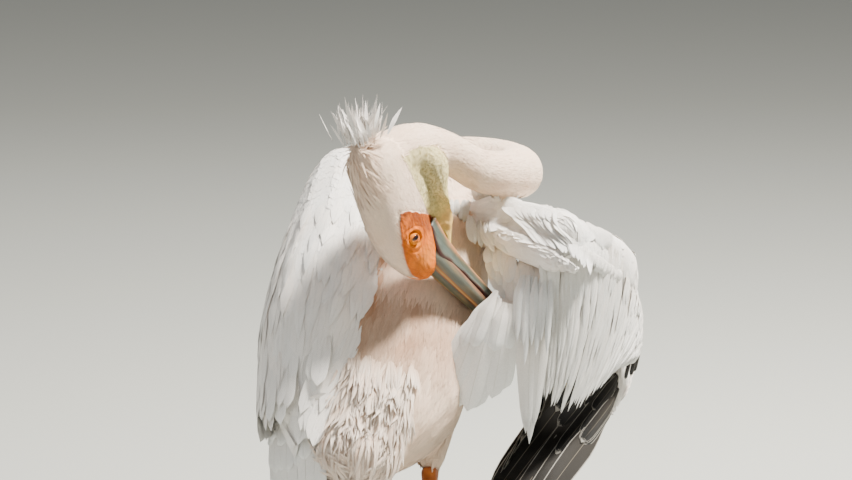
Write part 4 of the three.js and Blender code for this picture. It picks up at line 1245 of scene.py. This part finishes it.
def fan_lines(row, rng):
    """Lines of feathers that fan from a run of roots to a run of tips; lift is off the outer side."""
    s = np.linspace(row.edge, 1 - row.edge, row.count) + rng.normal(0, row.jitter / 2, row.count)
    s = np.clip(s, 0, 1)
    roots, tips = places(row.roots), places(row.tips)
    first, full = run(roots, s), run(tips, s**row.skew) - run(roots, s)
    ends = row.reach + rng.normal(0, row.jitter, row.count)
    begin = (row.start + (max(row.start, 0.02) - row.start) * step(s, 0.3, 0.6))[:, None]
    along = np.linspace(0, 1, LINE_POINTS)
    t = (begin + (ends[:, None] - begin) * along)[..., None]
    across = direction(roots, s)[:, None] * (1 - t) + direction(tips, s**row.skew)[:, None] * t
    up = unit_ways(np.cross(across, full[:, None]))
    outward = np.asarray(row.toward, float)
    for k in range(LINE_POINTS):
        sign = np.sign((up[:, k] * outward).sum(1))
        up[:, k] *= np.where(sign == 0, 1, sign)[:, None]
        outward = up[:, k]
    arch = row.bulge * np.sin(np.pi * np.minimum(1, t * 0.85 + 0.08))
    tucked = (1 - step(along, 0, 0.3))[:, None]
    line = first[:, None] + full[:, None] * t + up * (arch + row.lift - 3 * tucked) / 1000
    return line + unit_ways(across) * (row.bow / 1000 * np.sin(np.pi * np.clip(t, 0, 1))), up


def settle(lines, clear, hug):
    """Lines lifted to lie this far clear of the skin, drawn down to it at root and tip, then eased."""
    for k in range(lines.shape[1]):
        for i in range(len(lines)):
            spot = Vector(lines[i, k])
            found, normal, _, _ = skin_tree.find_nearest(spot)
            gap = (spot - found).dot(normal)
            rest = clear * min(1.0, 1.5 * k / lines.shape[1]) - 0.002 * (k == 0)
            drop = max(0.0, 1 - k / 2, hug * k / (lines.shape[1] - 1))
            if gap < rest or drop:
                lines[i, k] += np.array(normal) * (rest - gap) * (1 if gap < rest else drop)
    eased = lines.copy()
    eased[:, 1:-1] = (lines[:, :-2] + 2 * lines[:, 1:-1] + lines[:, 2:]) / 4
    return eased


wing_feather = vane_finish("wing_feather", 0.7, 300.0, 0.8, 0.12, 0.16, shaft_tone=srgb(226, 222, 212))


def tiers(name, nodes, seed, form, outline, camber, overlap, rows, slot="plumage_white", finish=wing_feather,
          **shared):
    """One piece of several rows of like feathers, in millimetres; each row adds to the values they share."""
    rng = np.random.default_rng(seed)
    lines, ups, widths, low_tints, tip_tints = [], [], [], [], []
    for own in rows:
        row = SimpleNamespace(**{**PLAIN_ROW, **shared, **own})
        line, up = fan_lines(row, rng)
        line = line + up * (overlap * (np.arange(row.count) % 2 - 0.5))[:, None, None]
        if row.clear is not None:
            line = settle(line, row.clear / 1000, row.hug)
        lines.append(line)
        ups.append(up)
        widths.append(row.width / 1000 * rng.uniform(0.92, 1.08, row.count))
        tone = rng.uniform(0.95, 1.02, (row.count, 1))
        low_tints.append(row.base * tone)
        tip_tints.append(row.tip * tone)
    lines, ups, widths, low, tip = map(np.concatenate, (lines, ups, widths, low_tints, tip_tints))
    piece = lay(name, form, lines, ups, widths, VANE_THICK, outline, low, tip, camber)
    return dress(piece, finish, slot, *nodes)


def pointed(y):
    return np.clip(0.25 + 1.8 * y, 0, 1) * np.clip((1 - y) / 0.42, 0, 1) ** 0.62 + 0.015


long_vane = broad_form(6, 12)
tiers("coverts_right_wing", ["right_wing_coverts"], 41, long_vane, pointed, 0.0014, 0.0010, [
    dict(count=52, start=0.40, reach=0.985, lift=-1.5),
    dict(count=52, start=0.20, reach=0.82, lift=0.3),
    dict(count=50, start=0.02, reach=0.62, lift=1.8),
    dict(count=48, start=-0.10, reach=0.42, lift=3.2),
    dict(count=46, start=-0.20, reach=0.22, lift=4.4, width=10.5),
], roots=[(-226, 72, 408), (-286, 30, 405), (-309, -60, 378), (-308, -146, 330), (-306, -144, 268)],
    tips=[(-232, 78, 228), (-258, 46, 214), (-280, 0, 226), (-292, -52, 244), (-296, -106, 250)],
    width=9.5, bulge=6, jitter=0.035, edge=0.01, skew=1.25, bow=6)

# ---------- inner coverts of the right wing ----------
# Broad rounded feathers in three tiers where the upper arm meets the body; their roots are painted a little
# darker and warmer, as shade in the hollow.
# They hang from the arm and close the hollow beside the back.
tiers("coverts_inner", ["right_inner_coverts"], 42, long_vane, rounded, 0.0026, 0.0012, [
    dict(count=8, start=0.35, reach=0.97, lift=-1),
    dict(count=8, start=0.08, reach=0.70, lift=1.2),
    dict(count=8, start=-0.10, reach=0.42, lift=3.2),
], roots=[(-130, -22, 424), (-180, 26, 417), (-228, 52, 408)],
    tips=[(-166, 52, 364), (-195, 66, 330), (-232, 66, 306)], width=27, bulge=4, base=srgb(226, 212, 200),
    jitter=0.05)

# ---------- tertials of the right wing ----------
# The innermost flight feathers, long, soft and white, hang beside the rump, a narrow bunch by the elbow.
# They root at the inner end of the forearm.
def bladed(y):
    tip = np.clip((y - 0.80) / 0.20, 0, 1)
    return np.clip(0.25 + 2 * y, 0, 1) * np.sqrt(np.clip(1 - tip**2, 0, 1)) + 0.01


def tapered(y):
    body = np.clip(0.3 + 2.4 * y, 0, 1) * np.clip(1.35 - 0.95 * y, 0, 1)
    return body * np.clip((1 - y) / 0.18, 0, 1) ** 0.55 + 0.01


broad_vane = broad_form(8, 14)
tiers("tertials_right", ["right_tertials"], 43, broad_vane, bladed, 0.0028, 0.0022, [
    dict(count=7, reach=0.985, width=27, edge=0.07, jitter=0.05),
    dict(count=5, start=-0.10, reach=0.50, lift=2.2, width=24, edge=0.12),
], roots=[(-152, 84, 360), (-172, 88, 368), (-196, 84, 362)],
    tips=[(-84, 104, 258), (-122, 108, 228), (-150, 106, 218), (-186, 96, 248)], bulge=8)
tiers("tertial_long_right", ["right_long_tertial"], 48, broad_vane, tapered, 0.0024, 0.0022, [
    dict(roots=[(-204, 92, 345), (-221, 92, 350), (-238, 90, 345)], count=4, start=-0.02, reach=0.985,
         tips=[(-212, 102, 192), (-217, 102, 178), (-224, 98, 192)], width=24, edge=0.15, jitter=0.06),
    dict(roots=[(-196, 66, 398), (-214, 72, 400), (-240, 74, 398)], count=9, width=12, base=SNOW,
         tips=[(-196, 104, 318), (-216, 108, 306), (-242, 100, 302)], jitter=0.10, lift=2),
], bulge=3)

# ---------- flight feathers of the right wing ----------
# Stiff black primaries on the hand and secondaries on the forearm, with pale worn fringes and their own short
# black coverts.
COAL = srgb(16, 17, 18)
COAL_BROWN = srgb(48, 44, 39)
flight_feather = vane_finish("flight_feather", 0.58, 420.0, 0.6, 0.0, 0.22, fringe=srgb(158, 154, 146),
                             shaft_tone=srgb(96, 90, 80), shine=0.12)
BLACK_LOOK = dict(slot="plumage_flight", finish=flight_feather, base=COAL_BROWN, tip=COAL, jitter=0.012)
PRIMARIES = dict(roots=[(-258, -162, 300), (-274, -154, 250), (-281, -134, 206)],
                 tips=[(-157, 78, 100), (-166, 128, 66), (-200, 184, 52), (-236, 228, 50)], bulge=8)
SECONDARIES = dict(roots=[(-240, 40, 360), (-256, -40, 352), (-258, -140, 318)],
                   tips=[(-216, 58, 206), (-193, 56, 170), (-172, 54, 140), (-156, 70, 106)])
RIGHT_FLIGHT = ["right_primaries", "right_secondaries"]
tiers("flight_right", RIGHT_FLIGHT, 44, broad_form(8, 18), bladed, 0.0022, 0.0016, [
    dict(PRIMARIES, count=10, reach=0.985, width=33, edge=0.04),
    dict(SECONDARIES, count=12, start=0.05, reach=0.985, lift=4, width=30, edge=0.03),
    dict(PRIMARIES, count=9, start=-0.02, reach=0.46, lift=3, width=20, edge=0.05, jitter=0.06),
    dict(PRIMARIES, count=8, start=-0.02, reach=0.30, lift=5, width=17, edge=0.10, jitter=0.05),
    dict(roots=[(-306, -150, 272), (-300, -124, 266)], tips=[(-300, -138, 236), (-294, -112, 230)],
         count=3, width=13, lift=4),
], **BLACK_LOOK)

# ---------- rear of the folded left wing ----------
# White tertials in four tiers close over the black primaries, whose tips reach past the tail's root. Both
# grow from the end of the closed wing.
tiers("tertials_left", ["left_tertials"], 45, broad_vane, bladed, 0.0035, 0.0022, [
    dict(count=7, reach=0.99, width=30),
    dict(count=7, start=-0.06, reach=0.62, lift=3.5, width=24),
    dict(count=9, start=-0.42, reach=0.34, lift=6, width=24, clear=1.5),
    dict(count=9, start=-0.62, reach=0.12, lift=6, width=22, clear=2.2),
], roots=[(46, 190, 240), (90, 176, 216), (126, 146, 200)],
    tips=[(34, 240, 118), (74, 240, 94), (110, 202, 104)], edge=0.08, bulge=6, toward=(0.6, 0.7, 0.3),
    jitter=0.03)
tiers("flight_left", ["left_primaries"], 46, broad_vane, bladed, 0.002, 0.0022, [dict(count=9)],
      roots=[(60, 176, 170), (92, 164, 150), (120, 140, 140)],
      tips=[(30, 300, 62), (54, 292, 46), (92, 236, 50)], reach=0.985, width=22, toward=(0.7, 0.6, -0.1),
      edge=0.08, **BLACK_LOOK)

# ---------- tail ----------
# A short broad fan of white feathers fixed in the flesh of the rump. They are stiff, and the middle ones
# are the longest.
tiers("tail_feathers", ["tail"], 47, broad_form(8, 12), bladed, 0.002, 0.003, [dict(count=18)],
      roots=[(34, 176, 150), (0, 186, 158), (-34, 176, 150)],
      tips=[(86, 282, 62), (44, 318, 50), (0, 330, 48), (-44, 318, 50), (-86, 282, 62)],
      reach=0.985, width=24, bulge=2, toward=(0, 0.6, 0.8), jitter=0.012, edge=0.05)

# ---------- elbow coverts and shoulder tufts ----------
# Long coverts run from the upper arm over the elbow, and loose rounded feathers hang off the shoulder.
# The elbow's rows lie close to the skin they are rooted in.
tiers("coverts_elbow", [], 49, broad_form(4, 10), rounded, 0.0012, 0.0008, [
    dict(count=42, start=0.45, lift=0, clear=1.2),
    dict(count=42, start=0.15, reach=0.78, lift=1, clear=1.8),
    dict(count=40, start=-0.05, reach=0.50, lift=2, clear=2.4),
    dict(roots=[(-256, 34, 474), (-276, 10, 470), (-296, -14, 458)], count=30, start=-0.25, reach=0.85,
         tips=[(-290, 72, 440), (-303, 44, 430), (-313, 14, 414)], width=12, lift=1, clear=2.5, hug=0.9,
         jitter=0.02),
], roots=[(-146, -30, 474), (-190, -10, 476), (-236, 22, 474), (-268, 20, 464), (-288, -14, 448),
          (-298, -40, 434)],
    tips=[(-222, 72, 446), (-262, 90, 440), (-282, 84, 430), (-300, 62, 404), (-310, 20, 380),
          (-317, -20, 362)],
    width=12.5, hug=0.5, jitter=0.03, bulge=7, toward=(-0.3, 0.6, 0.7))
tiers("tufts_right_shoulder", [], 50, broad_form(4, 8), rounded, 0.0018, 0.0016, [
    dict(roots=[(-60, -58, 478), (-86, -66, 478)], tips=[(-64, -42, 457), (-84, -48, 448)],
         count=7, width=8.5),
    dict(roots=[(-92, -42, 461), (-122, -36, 452)], tips=[(-104, -18, 427), (-130, -14, 427)],
         count=5, width=10),
    dict(roots=[(-110, -34, 456), (-150, 8, 450)], tips=[(-132, -4, 424), (-172, 34, 424)],
         count=7, width=11),
    dict(roots=[(-88, -84, 474), (-128, -84, 478)], tips=[(-92, -84, 508), (-130, -84, 510)],
         count=7, width=14),
], jitter=0.10, bulge=4)

# ---------- crest ----------
# A shaggy fan of narrow plumes from the nape, lifted by the wind. They grow close together, and each droops
# and turns its own way.
CREST_COUNT = 150
rng = np.random.default_rng(51)
first = np.empty((CREST_COUNT, 3))
lean = np.empty((CREST_COUNT, 3))
long = rng.uniform(0.020, 0.050, CREST_COUNT)[:, None, None]
for i in range(CREST_COUNT):
    s = rng.uniform(-0.86, 0.86)
    first[i] = in_head(-190 + 8 * s + rng.normal(0, 9), -38 - 20 * s, rng.normal(0, 10))
    lean[i] = (-0.46 * s + rng.normal(0, 0.12), 0.1 - 0.15 * s + rng.normal(0, 0.15), 0.9)
lean = unit_ways(lean)
droop = rng.normal(0, 0.10, (CREST_COUNT, 3))
t = np.linspace(0, 1, 6)[:, None]
lines = first[:, None] + (lean[:, None] * t + droop[:, None] * t**2) * long
ups = unit_ways(np.cross(lean, rng.normal(0, 1, (CREST_COUNT, 3))))[:, None] * np.ones_like(t)
tints = srgb(250, 244, 238) * rng.uniform(0.93, 1.03, (CREST_COUNT, 1))
widths = rng.uniform(0.0032, 0.0068, CREST_COUNT)
crest = lay("crest_plumes", vane_form(4, 6), lines, ups, widths, 0.0004, lanceolate, tints, tints, 0.0005)
dress(crest, plume_finish, "plumage_white", "crest")

# ---------- claws ----------
# Short, blunt and curved, one at the end of each toe, horn growing from the toe's last bone. Each foot has
# three forward toes and a short one turned inward.
CLAW_LONG, CLAW_ROOT, CLAW_TIP = 14, 3.4, 0.9
TOES = ((1.75, 44), (0.42, 82), (0.02, 104), (-0.36, 98))  # turn off straight ahead, and length
claw_form = bmesh.new()
for side, x, y in ((-1, -82, 34), (1, 70, 28)):
    for angle, reach in TOES:
        heading = -math.pi / 2 + side * (0.14 - angle)
        claw = tube(12, 6)
        for vert in claw.verts:
            t = vert.co.z + 0.5
            size = CLAW_ROOT + (CLAW_TIP - CLAW_ROOT) * t**1.3
            along = reach - 1.5 + CLAW_LONG * t
            left_of, up_of = vert.co.x * size, vert.co.y * size * 0.9
            vert.co = place(
                x + math.cos(heading) * along - math.sin(heading) * left_of,
                y + math.sin(heading) * along + math.cos(heading) * left_of,
                max(0.2, 5.0 + 1.2 * math.sin(math.pi * t) - 2.8 * t**2 + up_of),
            )
        bmesh.ops.recalc_face_normals(claw, faces=claw.faces)
        add_to(claw_form, claw)
claws = new_piece("claws", to_mesh(claw_form, "claws"))
claws.data.shade_smooth()
claw_horn = Finish("claw_horn", 0.4)
grain = claw_horn.noise(claw_horn.coords(), 700.0, 4.0)
horn_tones = {0: grain, 1: (*srgb(58, 44, 34), 1), 2: (*srgb(120, 100, 78), 1)}
claw_horn.feed("Base Color", claw_horn.node("MixRGB", horn_tones))
claw_horn.bump(grain, 0.4, 0.0004)
dress(claws, claw_horn, "claw_horn", *[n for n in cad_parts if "claw" in n])
